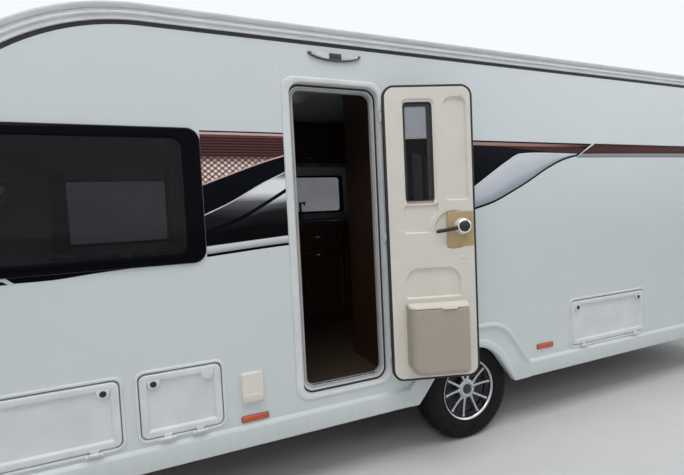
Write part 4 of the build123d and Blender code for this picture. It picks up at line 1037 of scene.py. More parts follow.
def entrance_frame():
    """White frame of the entrance, its seal, grey strip whose grey is partly a painted shade of the reveal,
    sill tread and fixed hinge lugs.
    """
    place = side_place(1)
    leaf_end, leaf_top = LEAF_X + LEAF_WIDE, LEAF_FOOT + LEAF_TALL
    outer = (*FRAME_X, *FRAME_Z, 0.075)
    rebate = (LEAF_X - 0.006, leaf_end + 0.008, LEAF_FOOT - 0.008, leaf_top + 0.008, 0.068)
    clear = (LEAF_X + 0.024, leaf_end - 0.02, LEAF_FOOT + 0.03, leaf_top - 0.02, 0.05)
    white, seal, strip, tread, nose = (Form() for _ in range(5))
    white.framed(
        place, (outer, ((0, -0.03), (0, 0.003), (0.0015, 0.0062), (0.005, 0.008))),
        (rebate, ((-0.004, 0.008), (-0.001, 0.006), (0, 0.002), (0, -0.036))),
        (clear, ((-0.003, -0.036), (0, -0.039), (0, -0.046))), arcs=12)
    for z in DOOR_HINGES:
        for end in KNUCKLE_ENDS:
            white.barrel(at(AXIS_X, AXIS_Y, z + end), (0, 0, 1), KNUCKLE_FIXED)
            white.block(place, AXIS_X - 0.012, AXIS_X, z + end - 0.007, z + end + 0.007, 0.004, 0.018, 0.0015)
    white.piece("entrance_frame", "trim_white", replaces=("door_frame",), smooth_to=45)
    seal.framed(place, (rebate, (
        (0.001, -0.036), (0.001, -0.0335), (0.003, -0.0315), (0.009, -0.0315), (0.011, -0.0335),
        (0.011, -0.036))), arcs=12)
    seal.piece("entrance_seal", "seal")
    # Grey strip of the reveal, its grey partly a painted shade
    strip.framed(place, (clear, (
        (-0.0115, -0.0362), (-0.0115, -0.0335), (-0.01, -0.0325), (-0.002, -0.0325), (0.0016, -0.0345),
        (0.0016, -0.06), (0, -0.06))), arcs=12)
    strip.piece("entrance_strip", "trim_grey")
    tread.block(at, clear[0] + 0.004, clear[1] - 0.004, 0.985, WALL_Y - 0.047, 0.4725, 0.486)
    for y in (0.992 + k * 0.01 for k in range(7)):
        tread.block(at, clear[0] + 0.02, clear[1] - 0.02, y, y + 0.004, 0.4855, 0.488, 0.0006)
    tread.piece("sill_tread", "dark_plastic")
    nose.block(at, clear[0] + 0.03, clear[1] - 0.03, WALL_Y - 0.046, WALL_Y - 0.0315, 0.5712, 0.5742, 0.001)
    nose.piece("sill_strip", "alloy")


# Side graphics: thin films that follow smooth lines, in x and z

FOOT_LINE = through(((-1.05, 1.849), (-0.961, 1.844), (-0.821, 1.812), (-0.674, 1.753), (-0.512, 1.672),
                     (-0.356, 1.602), (-0.207, 1.543), (-0.038, 1.5), (0.12, 1.455), (0.35, 1.41),
                     (0.6, 1.385), (1.163, 1.367), (1.589, 1.337)))
BAND_LINE = through(((-0.962, 1.852), (-0.44, 1.846), (-0.325, 1.795), (-0.214, 1.732), (-0.043, 1.63),
                     (0.1, 1.555), (0.3, 1.49), (0.58, 1.44), (1.163, 1.405), (1.582, 1.376)))
TOP_LINE = through(((-2.9, 1.925), (0.6, 1.925), (1.17, 1.934), (1.6, 1.934)))
LINE_ONE = through(((0.75, 1.93), (0.87, 1.9), (1.17, 1.819), (1.284, 1.785), (1.439, 1.729),
                    (1.568, 1.681)))
LINE_TWO = through(((0.75, 1.93), (0.95, 1.85), (1.17, 1.733), (1.29, 1.677), (1.448, 1.589),
                    (1.562, 1.538)))
LINE_THREE = through(((0.65, 1.9), (0.9, 1.8), (1.167, 1.648), (1.296, 1.573), (1.402, 1.516),
                      (1.567, 1.454)))
MAROON_FOOT = through(((-2.9, 1.869), (-1.9, 1.862), (-1.4, 1.856), (-0.9, 1.849)))
MAROON_FADE = through(((-1.1, 1.854), (-0.75, 1.856), (-0.55, 1.87), (-0.35, 1.884), (-0.1, 1.893)))
GREY_FOOT = through(((-2.9, 1.839), (-1.9, 1.832), (-1.4, 1.828), (-0.9, 1.823)))
# Films end at the rear and front, slant behind the bend, and the silver band ends at the change
FILM_REAR = -2.83
FILM_BEND = -0.44
FILM_CHANGE = 0.66
FILM_FRONT = 1.6
FADE = (1.12, FILM_FRONT)
STRAIGHT = (0, 0)
SHORTEST = 0.004
# The films of the black field end a little under its top edge
FIELD_TOP = -0.005


def moved(line, by):
    """The same line, raised by a distance."""
    return lambda x: line(x) + by


def below(line, by=0.0):
    """A line raised by a distance, but never above the field's top edge."""
    return lambda x: min(TOP_LINE(x) + FIELD_TOP, line(x) + by)


def film_band(form, place, x0, x1, low, high, proud, slant=STRAIGHT, span=None):
    """Film between two lines from x0 to x1; slant leans its rear and front ends forward at the top."""
    first, last = span or (x0, x1)
    rows = []
    for share in spread_over(0, 1, 0.02 / max(x1 - x0, 0.02)):
        x = lerp(x0, x1, share)
        lean = lerp(slant[0], slant[1], share)
        foot, top = low(x), max(high(x), low(x) + 0.0003)
        row = []
        for v, height in ((0, 0.0), (0, proud), (0.33, proud), (0.67, proud), (1, proud), (1, 0.0)):
            here = x + lean * v
            row.append(place(here, lerp(foot, top, v), height))
            form.maps.append(((here - first) / (last - first), v))
        rows.append(row)
    form.rows(rows)


# Films: kind, lower and upper line, thickness, rear and front end, then slants and span of the grading
BAND_FILMS = (
    ("black", moved(FOOT_LINE, -0.013), TOP_LINE, 0.0004, FILM_BEND, FILM_FRONT),
    ("black", moved(FOOT_LINE, -0.013), TOP_LINE, 0.0004, -0.972, FILM_BEND, (-0.155, 0)),
    ("diamond", below(LINE_ONE), below(TOP_LINE, FIELD_TOP), 0.0006, FILM_CHANGE, FILM_FRONT, STRAIGHT,
     (1.1, FILM_FRONT)),
    ("pink", below(LINE_ONE, -0.007), below(LINE_ONE), 0.0008, FILM_CHANGE, FILM_FRONT),
    ("pink", moved(TOP_LINE, -0.019), moved(TOP_LINE, -0.008), 0.0008, 1.12, FILM_FRONT),
    ("white", below(LINE_TWO, -0.006), below(LINE_TWO), 0.0007, FILM_CHANGE, FILM_FRONT),
    ("fade_one", lambda x: min(TOP_LINE(x) + FIELD_TOP - 0.02, LINE_THREE(x)), below(LINE_TWO, -0.0055),
     0.0006, FILM_CHANGE, FILM_FRONT, STRAIGHT, FADE),
    ("fade_two", moved(BAND_LINE, 0.0005), below(LINE_THREE, -0.02), 0.0006, FILM_CHANGE, FILM_FRONT,
     STRAIGHT, FADE),
    ("silver", FOOT_LINE, BAND_LINE, 0.0007, -0.9, FILM_CHANGE),
    ("silver", FOOT_LINE, lambda x: min(BAND_LINE(x), TOP_LINE(x) - 0.073), 0.0007, -0.962, -0.9,
     (-0.012, 0)),
    ("line", FOOT_LINE, BAND_LINE, 0.0007, FILM_CHANGE, 1.595),
    ("line", moved(BAND_LINE, -0.015), moved(BAND_LINE, -0.0115), 0.0009, -0.8, FILM_CHANGE),
    ("glow", moved(TOP_LINE, -0.03), moved(TOP_LINE, -0.01), 0.0006, -0.985, FILM_CHANGE, (-0.118, 0),
     (-1.1, 0.6)),
    ("maroon", MAROON_FADE, moved(TOP_LINE, -0.031), 0.0006, -0.985, -0.12, (-0.075, 0)),
    ("maroon", MAROON_FOOT, TOP_LINE, 0.0005, FILM_REAR, -1.015, (0, -0.143)),
    ("black", moved(TOP_LINE, -0.004), moved(TOP_LINE, 0.001), 0.0007, FILM_REAR, -1.15),
    ("grey", GREY_FOOT, MAROON_FOOT, 0.0005, FILM_REAR, -0.965, (0, -0.048)),
)


def graphics_on(place, parts, label, body="body"):
    """All films of one face; parts are the stretches of x on which they lie."""
    pieces = {}

    def lay(kind, low, high, proud, x0, x1, slant=STRAIGHT, span=None):
        for a, b in parts:
            start, end = max(a, x0), min(b, x1)
            if end - start > SHORTEST:
                form = pieces.setdefault("film_" + kind, Form())
                lean = (slant[0] if start == x0 else 0, slant[1] if end == x1 else 0)
                film_band(form, place, start, end, low, high, proud, lean, span)

    for row in BAND_FILMS:
        lay(*row)
    for kind, form in pieces.items():
        form.piece(f"{kind}_{label}", kind, body, smooth_to=60)


def under_window(place, label):
    """Silver line with a black one under it, below the front window."""
    silver, black = Form(), Form()
    wedge = through(((1.89, 1.3018), (2.06, 1.291), (2.21, 1.278), (2.36, 1.277)))
    film_band(silver, place, 2.39, 3.02, lambda x: 1.287, lambda x: 1.303, 0.0007, (0.022, -0.01))
    film_band(black, place, 2.372, 3.02, lambda x: 1.274, lambda x: 1.287, 0.0007, (0.018, -0.005))
    film_band(black, place, 1.89, 2.352, wedge, lambda x: 1.3022, 0.0006, (0, 0.03))
    silver.piece("film_silver_front_" + label, "film_silver")
    black.piece("film_black_front_" + label, "film_black")


def graphics():
    """Films of both sides, on the stretches that openings and windows leave, and of the door."""
    graphics_on(side_place(1), ((1.1655, 1.577), (FILM_REAR, 0.5845)), "near")
    graphics_on(side_place(-1), ((0.655, 1.577), (-2.06, -0.155), (FILM_REAR, -2.485)), "off")
    graphics_on(leaf_outer, ((0.62, 1.111),), "door", "entrance_door")
    for side, label in SIDES:
        under_window(side_place(side), label)


# Entrance door: inner face with its recesses, outer skin, window, bin and handle

DOOR = "entrance_door"
WINDOW_HOLE = (0.113, 0.272, 1.551, 2.099, 0.022)
RECESS = 0.0125
BIN_FOOT = 0.59
BIN_OPEN = 0.96


def sunk(distance, depth, wall=0.007):
    """Depth of a recess whose sides slope in over a wall's width from its edge."""
    return -depth * (1 - smooth(distance, -wall, 0.0))


def leaf_height(d, b):
    """Height of the leaf's inner face at d from the hinge edge and b above its foot."""
    z = LEAF_FOOT + b
    edge = -box_distance(d, b, 0, LEAF_WIDE, 0, LEAF_TALL, LEAF_RADIUS)
    height = -0.007 * (1 - smooth(edge, -0.001, 0.011)) ** 2
    height -= 0.0012 * (1 - smooth(abs(edge - 0.024), 0.0, 0.004))
    curve = 0.268 + 0.028 * math.tanh((z - 1.46) / 0.03)
    window = box_distance(d, z, 0.098, 0.289, 1.534, 2.118, 0.034)
    panel = box_distance(d, z, 0.341, 0.469, 1.551, 2.128, 0.045 if z > 1.9 else 0.02)
    shelf = max(box_distance(d, z, 0.092, 0.33, 1.374, 1.535, 0.028), d - curve)
    knob = max(math.hypot(d - 0.378, z - 1.385) - 0.111, d - 0.492)
    grip = box_distance(d, z, 0.09, 0.41, 1.005, 1.178, 0.02 if z < 1.09 else 0.085)
    height += sunk(window, 0.006, 0.006)
    height += sunk(panel, 0.013)
    for distance in (shelf, knob, grip):
        height += sunk(distance, RECESS)
    tray = box_distance(d, z, 0.07, 0.44, 0.572, 0.985, 0.034)
    height += 0.0016 * (1 - smooth(abs(tray), 0.0, 0.006))
    return max(height, -0.013)


def entrance_door():
    """Door leaf with its two faces, hinge knuckles and seal, and what it carries."""
    d0, d1, z0, z1, radius = WINDOW_HOLE
    leaf, skin, knuckles, seal = (Form() for _ in range(4))
    leaf.relief(LEAF_WIDE, LEAF_TALL, LEAF_RADIUS, leaf_height,
                lambda d, b, h: leaf_inner(d, LEAF_FOOT + b, h),
                0.004, -0.031, (d0, d1, z0 - LEAF_FOOT, z1 - LEAF_FOOT))
    leaf.piece("door_inner_panel", "cream_plastic", DOOR, ("door_leaf",), 50)
    outer = (LEAF_X, LEAF_X + LEAF_WIDE, LEAF_FOOT, LEAF_FOOT + LEAF_TALL, LEAF_RADIUS)
    hole = (LEAF_X + d0, LEAF_X + d1, z0, z1, radius)
    skin.framed(
        leaf_outer, (outer, ((0, -0.0068), (0, -0.002), (0.0008, -0.0005), (0.003, 0))),
        (hole, ((-0.004, 0), (-0.002, -0.0008), (-0.0015, -0.0068))), arcs=12)
    skin.piece("door_outer_skin", "body_white", DOOR, ("door_leaf",), 45)
    half = KNUCKLE / 2
    for z in DOOR_HINGES:
        knuckles.barrel(at(AXIS_X, AXIS_Y, z), (0, 0, 1), KNUCKLE)
        knuckles.block(leaf_outer, LEAF_X - 0.004, LEAF_X + 0.01, z - half, z + half, -0.001, 0.008, 0.001)
    knuckles.piece("door_knuckles", "trim_white", DOOR, ("door_leaf",))
    seal.framed(leaf_inner, ((0.0, LEAF_WIDE, LEAF_FOOT, LEAF_FOOT + LEAF_TALL, LEAF_RADIUS), (
        (-0.0008, -0.027), (-0.004, -0.024), (-0.005, -0.012), (-0.0045, -0.005), (-0.0025, -0.0005),
        (0.009, -0.0001), (0.012, -0.001), (0.013, -0.006), (0.009, -0.027))), arcs=12)
    seal.piece("door_seal", "seal", DOOR)
    door_window()
    bin_body()
    bin_lid()
    door_handle()
    door_plates()


def door_window():
    """Door window: black frame, dark pane and grey blind behind it, with its bar and the sill."""
    rim, pane, blind, bar, sill = (Form() for _ in range(5))
    rim.framed(leaf_inner, (WINDOW_HOLE, (
        (-0.0035, -0.009), (-0.0035, -0.0052), (-0.001, -0.004), (0.002, -0.0044), (0.0055, -0.0065),
        (0.0065, -0.01), (0.0065, -0.03), (0, -0.03))))
    rim.framed(leaf_inner, (WINDOW_HOLE, ((0.004, -0.0135), (0.004, -0.01))),
               ((0.121, 0.243, 1.56, 2.078, 0.008), ((0, -0.0095), (0.001, -0.0105), (0.001, -0.0135))))
    rim.piece("door_window_rim", "seal", DOOR)
    pane.lofted(inward(WINDOW_HOLE, 0.003), ((0, -0.02), (0, -0.016), (0.002, -0.0145), (0.01, -0.0138)),
                leaf_inner)
    pane.piece("door_pane", "window", DOOR, ("door_window",))
    folds = 44
    rows = []
    for k in range(folds + 1):
        z, h = lerp(1.908, 2.092, k / folds), -0.0112 if k % 2 else -0.0124
        section = ((0.1195, 0), (0.2655, 0), (0.2655, -0.0008), (0.1195, -0.0008))
        rows.append([leaf_inner(d, z, h + e) for d, e in section])
    blind.solid(rows)
    blind.piece("door_blind", "blind", DOOR, smooth_to=12)
    bar.plate(box_corners(0.119, 0.243, 1.901, 1.907, 0.003), leaf_inner, -0.0135, -0.0085, 0.0015, 0.003)
    bar.piece("door_blind_bar", "film_pink", DOOR, slot="grey_plastic")
    sill.plate(box_corners(0.113, 0.272, 1.542, 1.553, 0.003), leaf_inner, -0.0085, -0.003, 0.0015, 0.003)
    sill.piece("door_window_sill", "film_pink", DOOR, slot="cream_plastic")


def bin_outline(z, grow=0.0):
    """Plan of the bin at height z as (d, out) places; its foot and hinge corner draw in."""
    d0, d1, deep = 0.086 + grow, 0.424 - grow, 0.094 - grow
    rise = max(0.0, z - BIN_FOOT)
    d0 += 0.034 * (1 - smooth(rise, 0.0, 0.048))
    d1 -= 0.008 * (1 - smooth(rise, 0.0, 0.02)) ** 2
    deep -= 0.016 * (1 - smooth(rise, 0.0, 0.03)) ** 2
    chamfer = 0.034
    plan = [(d0, 0.0005)]
    plan += [(d0 + 0.002 * t, lerp(0.0005, deep - chamfer, t)) for t in (0.3, 0.7, 0.97)]
    for k in range(7):
        t = k / 6
        a = (1 - t) ** 2 * d0 + 2 * t * (1 - t) * (d0 + 0.012) + t * t * (d0 + chamfer + 0.004)
        h = (1 - t) ** 2 * (deep - chamfer) + 2 * t * (1 - t) * (deep - 0.008) + t * t * deep
        plan.append((a + 0.002, h))
    for t in (0.15, 0.35, 0.55, 0.75, 0.92):
        plan.append((lerp(d0 + chamfer + 0.006, d1 - 0.024, t), deep))
    for k in range(6):
        angle = math.pi / 2 * (1 - k / 5)
        plan.append((d1 - 0.024 + 0.024 * math.cos(angle), deep - 0.024 + 0.024 * math.sin(angle)))
    plan.append((d1, 0.0005))
    return plan


def bin_body():
    """Moulded waste bin on the door, rolled over at its rim, with the two lugs of its lid."""
    body = Form()
    heights = [BIN_FOOT + 0.004 * k for k in range(16)]
    heights += spread_over(0.66, 0.948, 0.036) + [0.954, 0.958, BIN_OPEN]
    plans = [(z, 0.004 * smooth(z, 0.95, BIN_OPEN) * 0.5) for z in heights]
    plans += [(z, 0.006) for z in (0.959, 0.9, 0.62)]
    body.solid([[leaf_inner(d, z, h) for d, h in bin_outline(z, grow)] for z, grow in plans])
    for d in (0.085, 0.4):
        body.block(leaf_inner, d, d + 0.025, 0.95, 0.978, 0.0004, 0.016)
    # The bin's colour is the lid's cream darkened as a painted shade
    body.piece("door_bin_body", "bin_plastic", DOOR, ("door_bin",), 50)


def bin_lid():
    """Sloping lid of the bin with its lip in front and its hinge bar behind."""
    lid = Form()
    inner_edge = 0.026
    rows = []
    for z, grow in ((0.9635, 0.003), (0.963, 0.0003), (0.9645, 0.0), (0.971, 0.0), (0.9735, 0.0015),
                    (0.9745, 0.005), (0.975, 0.012), (0.9745, 0.03)):
        slope = 0.17 if z > 0.97 else 0.0
        plan = [(d, max(h, inner_edge)) for d, h in bin_outline(BIN_OPEN, grow)]
        rows.append([leaf_inner(d, z + slope * (0.094 - h), h) for d, h in plan])
    lid.solid(rows)
    lip = ((0.262, 0.09, 0.004), (0.352, 0.09, 0.004), (0.345, 0.1035, 0.006), (0.269, 0.1035, 0.006))
    lid.plate(lip, lambda a, b, h: leaf_inner(a, h, b), 0.959, 0.9665, 0.0025, 0.003)
    d0, d1 = 0.116, 0.394
    start, end = leaf_inner(d0, 0.972, 0.012), leaf_inner(d1, 0.972, 0.012)
    lid.tube([start.lerp(end, t) for t in (0, 0.5, 1)], 0.0068, 16)
    lid.block(leaf_inner, d0, d1, 0.968, 0.9755, 0.012, 0.04, 0.001)
    lid.piece("door_bin_cover", "cream_plastic", "door_bin_lid", ("door_bin_lid",), 45)


# Turned parts of the handle's knob, as (out from the door, radius)
BEZEL = ((0, 0.03), (0, 0.048), (0.004, 0.0475), (0.012, 0.044), (0.022, 0.0415), (0.024, 0.0395),
         (0.024, 0.03))
KNOB_RING = ((0.018, 0.028), (0.022, 0.04), (0.027, 0.0408), (0.033, 0.0395), (0.036, 0.035),
             (0.0355, 0.031), (0.031, 0.029), (0.026, 0.028))
KNOB = ((0.01, POINT), (0.01, 0.0275), (0.03, 0.0275), (0.034, 0.0262), (0.037, 0.0225), (0.0385, 0.015),
        (0.039, POINT))
# Lever: across the door, height, half its height, half its thickness, and out from the door
LEVER = ((0.415, 1.401, 0.0115, 0.0065, 0.028), (0.39, 1.397, 0.0115, 0.0065, 0.028),
         (0.355, 1.391, 0.011, 0.006, 0.028), (0.315, 1.385, 0.011, 0.0055, 0.027),
         (0.282, 1.381, 0.011, 0.0055, 0.026), (0.27, 1.38, 0.0085, 0.004, 0.025))


def door_handle():
    """Inside handle: plate, bezel, bright ring, and black knob with its lever."""
    plate, bezel, bright, core = (Form() for _ in range(4))
    corners = ((0.34, 1.288, 0.014), (0.4945, 1.288, 0.012), (0.4945, 1.488, 0.012), (0.34, 1.488, 0.014))
    steps = ((0, -0.0088), (0, -0.002), (0.0015, 0.0002), (0.004, 0.0012), (0.008, 0.0015))
    plate.solid(swept(rounded(corners, arcs=10), steps, leaf_inner))
    plate.piece("door_handle_plate", "tan_plastic", DOOR, ("door_handles",), 50)
    into_room = (leaf_inner(0, 1, 1) - leaf_inner(0, 1, 0)).normalized()
    middle = leaf_inner(0.428, 1.403, 0)
    bezel.spun(middle, into_room, BEZEL, 56)
    bezel.piece("door_handle_bezel", "cream_plastic", DOOR, ("door_handles",), 50)
    bright.spun(middle, into_room, KNOB_RING, 56)
    bright.piece("door_handle_ring", "chrome", DOOR, ("door_handles",))
    core.spun(middle, into_room, KNOB, 48)
    turns = [2 * math.pi * j / 16 for j in range(16)]
    core.solid([[leaf_inner(d, z + tall * math.sin(turn), lift + thick * math.cos(turn)) for turn in turns]
                for d, z, tall, thick, lift in LEVER])
    core.piece("door_handle_knob", "lock_black", DOOR, ("door_handles",))


def door_plates():
    """Pull on the outside of the door, and the small oval cap inside."""
    pull, oval = Form(), Form()
    pull.lofted((LEAF_X + 0.395, LEAF_X + 0.485, 1.33, 1.45, 0.02), (
        (0, 0.0002), (0, 0.008), (0.002, 0.012), (0.006, 0.0145), (0.014, 0.0155)), leaf_outer)
    pull.piece("door_outer_pull", "black_plastic", DOOR, ("door_handles",))
    oval.lofted((0.412, 0.448, 1.2195, 1.2345, 0.0075), (
        (0, -0.0005), (0, 0.001), (0.0015, 0.0022), (0.004, 0.0026)), leaf_inner)
    oval.piece("door_oval_cap", "trim_white", DOOR)


# Wheels

TREAD_STEPS = 264
SHOULDER = (0.313, 0.32)
# Turned parts of the rim, as (out from its middle, radius)
RIM_BARREL = (
    (-0.14, 0.186), (-0.147, 0.1955), (-0.15, 0.192), (-0.15, 0.172), (-0.06, 0.175), (-0.004, 0.177),
    (0.004, 0.179), (0.01, 0.182), (0.0155, 0.1868), (0.0187, 0.191), (0.0197, 0.194), (0.019, 0.1956),
    (0.015, 0.1958), (0.012, 0.195), (0.011, 0.186), (-0.13, 0.186), (-0.138, 0.188),
)
RIM_WELL = ((-0.05, POINT), (-0.05, 0.15), (-0.046, 0.163), (-0.044, 0.167), (-0.04, 0.1675),
            (-0.04, 0.164), (-0.044, 0.15), (-0.044, POINT))
RIM_HUB = ((-0.03, POINT), (-0.03, 0.06), (-0.01, 0.062), (-0.004, 0.06), (0, 0.054),
           (0.0005, 0.0335), (-0.002, 0.0325), (-0.002, POINT))
NUT = ((-0.006, POINT), (-0.006, 0.0085), (0.0045, 0.008), (0.006, 0.0065), (0.0062, POINT))
HUB_CAP = ((-0.002, POINT), (-0.002, 0.0315), (0.0035, 0.0315), (0.0055, 0.03), (0.007, 0.024),
           (0.0078, 0.012), (0.008, POINT))
RIM_OUT = 1.046
SPOKE_TURN = 6
SPOKE_LEAN = 17
SPOKE_ROOT = 0.04
SPOKE_END = 0.183


def tyre_profile():
    """Section of the tyre from outer bead over the tread to the inner bead, as (across, radius)."""
    side_wall = ((0.014, BEAD), (0.0145, FLANGE + 0.003), (0.01, FLANGE + 0.01), (0.004, 0.222),
                 (0.0015, 0.236), (0.0025, 0.2375), (0.0015, 0.239), (0.0005, 0.256), (0.001, 0.27),
                 (0.0025, 0.2715), (0.0015, 0.273), (0.005, 0.288), (0.011, 0.303), (0.019, 0.3135),
                 (0.028, 0.319))
    half = [(TYRE_OUTER - inset, radius) for inset, radius in side_wall]
    inner = TYRE_OUTER - TYRE_WIDE
    middle = (TYRE_OUTER + inner) / 2
    for groove in (0.042, 0.014):
        for dy, depth in ((0.006, 0), (0.0035, 0.0065), (-0.0035, 0.0065), (-0.006, 0)):
            half.append((middle + groove + dy, 0.3245 - depth - 0.0025 * (groove / 0.05) ** 2))
    return half + [(2 * middle - y, radius) for y, radius in reversed(half)]


def sipe(radius, j, k):
    """Depth cut away at a point of the tread, on its shoulders and its ribs."""
    if SHOULDER[0] < radius < SHOULDER[1]:
        return 0.0045 if k % 4 == 0 else 0
    if radius >= SHOULDER[1]:
        return 0.0035 if (k + j) % 6 == 0 else 0
    return 0


def tyre(side, label):
    """Tyre with its bead, side walls and grooved tread."""
    form = Form()
    profile = tyre_profile()
    rows = []
    for k in range(TREAD_STEPS):
        angle = 2 * math.pi * k / TREAD_STEPS
        reaches = [radius - sipe(radius, j, k) for j, (_, radius) in enumerate(profile)]
        rows.append([at(reach * math.sin(angle), side * y, TYRE_RADIUS + reach * math.cos(angle))
                     for (y, _), reach in zip(profile, reaches)])
    form.rows(rows, round_rows=True)
    form.piece(f"tyre_{label}_tread", "tyre", "wheel_" + label, ("tyre_" + label,), 30)


def spoke(form, centre, side, pair, lean):
    """One spoke from the hub to the lip, wider at both ends and hollowed along its face."""
    middle = math.radians(72 * pair + SPOKE_TURN + lean * 0.45)
    tilt = math.radians(72 * pair + SPOKE_TURN + lean)
    start = Vector((math.sin(middle), math.cos(middle))) * SPOKE_ROOT
    way = Vector((math.sin(tilt), math.cos(tilt))) * SPOKE_END - start
    side_way = Vector((way.y, -way.x)).normalized()
    rows = []
    for share in (0, 0.06, 0.25, 0.5, 0.75, 0.92, 1):
        wide = lerp(0.0105, 0.0072, share) + 0.004 * (1 - smooth(share, 0, 0.2))
        wide += 0.005 * smooth(share, 0.85, 1)
        face = 0.003 - 0.003 * math.sin(math.pi * min(share * 1.05, 1)) + 0.006 * smooth(share, 0.6, 1)
        half = ((1, -0.022), (1.02, face - 0.006), (0.72, face), (0.45, face + 0.0012))
        section = [(-wide * part, height) for part, height in half]
        section += [(wide * part, height) for part, height in reversed(half)]
        places = [(start + way * share + side_way * across, height) for across, height in section]
        rows.append([centre + Vector((p.x, side * height, p.y)) for p, height in places])
    form.solid(rows)


def rim(side, label):
    """Alloy rim: barrel with its lip, dark well, five pairs of spokes, nuts and hub cap."""
    body, axis = "wheel_" + label, (0, side, 0)
    centre = at(0, side * RIM_OUT, TYRE_RADIUS)
    lip, dark, spokes, nuts, cap = (Form() for _ in range(5))
    lip.spun(centre, axis, RIM_BARREL, 120)
    lip.piece("rim_lip_" + label, "alloy", body, ("rim_" + label,), 40)
    dark.spun(centre, axis, RIM_WELL, 72)
    dark.piece("rim_well_" + label, "black_metal", body)
    for pair in range(5):
        for lean in (-SPOKE_LEAN, SPOKE_LEAN):
            spoke(spokes, centre, side, pair, lean)
    spokes.spun(centre, axis, RIM_HUB, 60)
    spokes.piece("rim_spokes_" + label, "alloy", body, ("rim_" + label,), 30)
    for k in range(5):
        angle = math.radians(72 * k + 36)
        nuts.spun(centre + Vector((0.046 * math.sin(angle), 0, 0.046 * math.cos(angle))), axis, NUT, 6)
    nuts.piece("wheel_nuts_" + label, "zinc", body, smooth_to=25)
    cap.spun(centre, axis, HUB_CAP, 60)
    cap.piece("hub_cap_" + label, "dark_plastic", body)


def wheels():
    """Tyre and rim of both sides."""
    for side, label in ((1, "nearside"), (-1, "offside")):
        tyre(side, label)
        rim(side, label)


# Inside: what shows through the doorway and the windows

ROOM_EDGE = WALL_Y - 0.032
KITCHEN_FRONT = -0.53
OVERHEAD_FRONT = -0.79
OVERHEAD_NEAR = 0.76
OVERHEAD = (2.03, 2.392)
# Seats: side, label and rear end
SEATS = ((1, "near", 1.3), (-1, "off", 1.45))
SEATS_FRONT = 2.69
SEAT_INNER = 0.423
SEAT_TOP = 0.84
CUSHION = 0.12
BACKREST = 0.108
BACKREST_TOP = 1.29
SPOT = ((0, POINT), (0, 0.03), (0.004, 0.0305), (0.006, 0.028), (0.006, 0.022), (0.003, 0.021),
        (0.003, POINT))


def facing(y, way):
    """Places on an upright face across the room: forward, up, out of the face."""
    return lambda a, b, h: at(a, y + way * h, b)


def panel_door(form, place, a0, a1, b0, b1):
    """Cupboard front with a softened edge and a sunk middle."""
    thick, gap = 0.016, 0.003
    form.lofted((a0 + gap, a1 - gap, b0, b1, 0.004), (
        (0, 0.001), (0, thick - 0.003), (0.001, thick - 0.001), (0.003, thick), (0.045, thick),
        (0.052, thick - 0.004), (0.054, thick - 0.004)), place, 3)


def bar_handle(form, place, middle, half, b):
    """Bowed metal pull."""
    path = []
    for t in (k / 12 for k in range(13)):
        bow = 0.024 * math.sin(math.pi * t) ** 0.5
        path.append(place(lerp(middle - half, middle + half, t), b, 0.014 + bow))
    form.tube(path, 0.005, 10)


def kitchen():
    """Fronts and pulls of the kitchen and the overhead lockers, three small lamps and the rail."""
    fronts, pulls, spots, rail = (Form() for _ in range(4))
    place = facing(KITCHEN_FRONT, 1)
    edges = (-0.24, 0.15, 0.62, 1, 1.34)
    for a0, a1 in zip(edges, edges[1:]):
        for b0, b1 in ((0.56, 1.18), (1.19, 1.395)):
            panel_door(fronts, place, a0, a1, b0, b1)
        for b in (1.3, 1.135):
            bar_handle(pulls, place, (a0 + a1) / 2, 0.07, b)
    for y, way, edges in ((OVERHEAD_FRONT, 1, (-0.245, 0.155, 0.555, 0.955, 1.345)),
                          (OVERHEAD_NEAR, -1, (1.305, 1.65, 1.995))):
        place = facing(y, way)
        for a0, a1 in zip(edges, edges[1:]):
            panel_door(fronts, place, a0, a1, *OVERHEAD)
            bar_handle(pulls, place, (a0 + a1) / 2, 0.06, 2.065)
    # The board finish is darkened as a painted shade of the dim room
    fronts.piece("kitchen_fronts", "board", smooth_to=30)
    pulls.piece("cupboard_pulls", "chrome")
    for x in (0.3, 0.62, 0.94):
        spots.spun(at(x, -0.9, 2.02), (0, 0, -1), SPOT)
    spots.piece("kitchen_spots", "clear_lens")
    rail.tube([at(x, 0.004 - ROOM_EDGE, 1.46) for x in spread_over(-0.24, 1.34, 0.4)], 0.006, 10)
    rail.piece("worktop_rail", "chrome")


def pad_start(a0, a1, b0, b1, h0, h1, place):
    """Rounded block a little smaller than its space, to be swollen."""
    form = Form()
    inset, edge = 0.014, 0.03
    turns = [math.pi / 2 * k / 5 for k in range(6)]
    steps = [(edge * (1 - math.sin(turn)), h0 + edge * (1 - math.cos(turn))) for turn in turns]
    steps += [(edge * (1 - math.cos(turn)), h1 - inset - edge * (1 - math.sin(turn))) for turn in turns]
    form.lofted((a0 + inset, a1 - inset, b0 + inset, b1 - inset, 0.045), steps, place)
    return form


def applied(obj, kind, **settings):
    """Add a modifier with these settings and apply it."""
    modifier = obj.modifiers.new(kind.lower(), kind)
    for key, value in settings.items():
        setattr(modifier, key, value)
    bpy.context.view_layer.objects.active = obj
    bpy.ops.object.modifier_apply(modifier=modifier.name)


def swell(obj, cap, frames=20):
    """Blow a pad up as cloth for a moment, holding every point near its start."""
    start = [v.co.copy() for v in obj.data.vertices]
    cloth = obj.modifiers.new("cloth", "CLOTH")
    cloth.settings.quality = 4
    cloth.settings.use_pressure = True
    cloth.settings.uniform_pressure_force = 4
    cloth.settings.effector_weights.gravity = 0
    cloth.point_cache.frame_end = frames
    for number in range(1, frames + 1):
        bpy.context.scene.frame_set(number)
    blown = obj.evaluated_get(bpy.context.evaluated_depsgraph_get())
    ends = [v.co.copy() for v in blown.to_mesh().vertices]
    blown.to_mesh_clear()
    obj.modifiers.remove(cloth)
    bpy.context.scene.frame_set(1)
    for vertex, a, b in zip(obj.data.vertices, start, ends):
        step = b - a
        if step.length > cap:
            step = step.normalized() * cap
        vertex.co = a + step


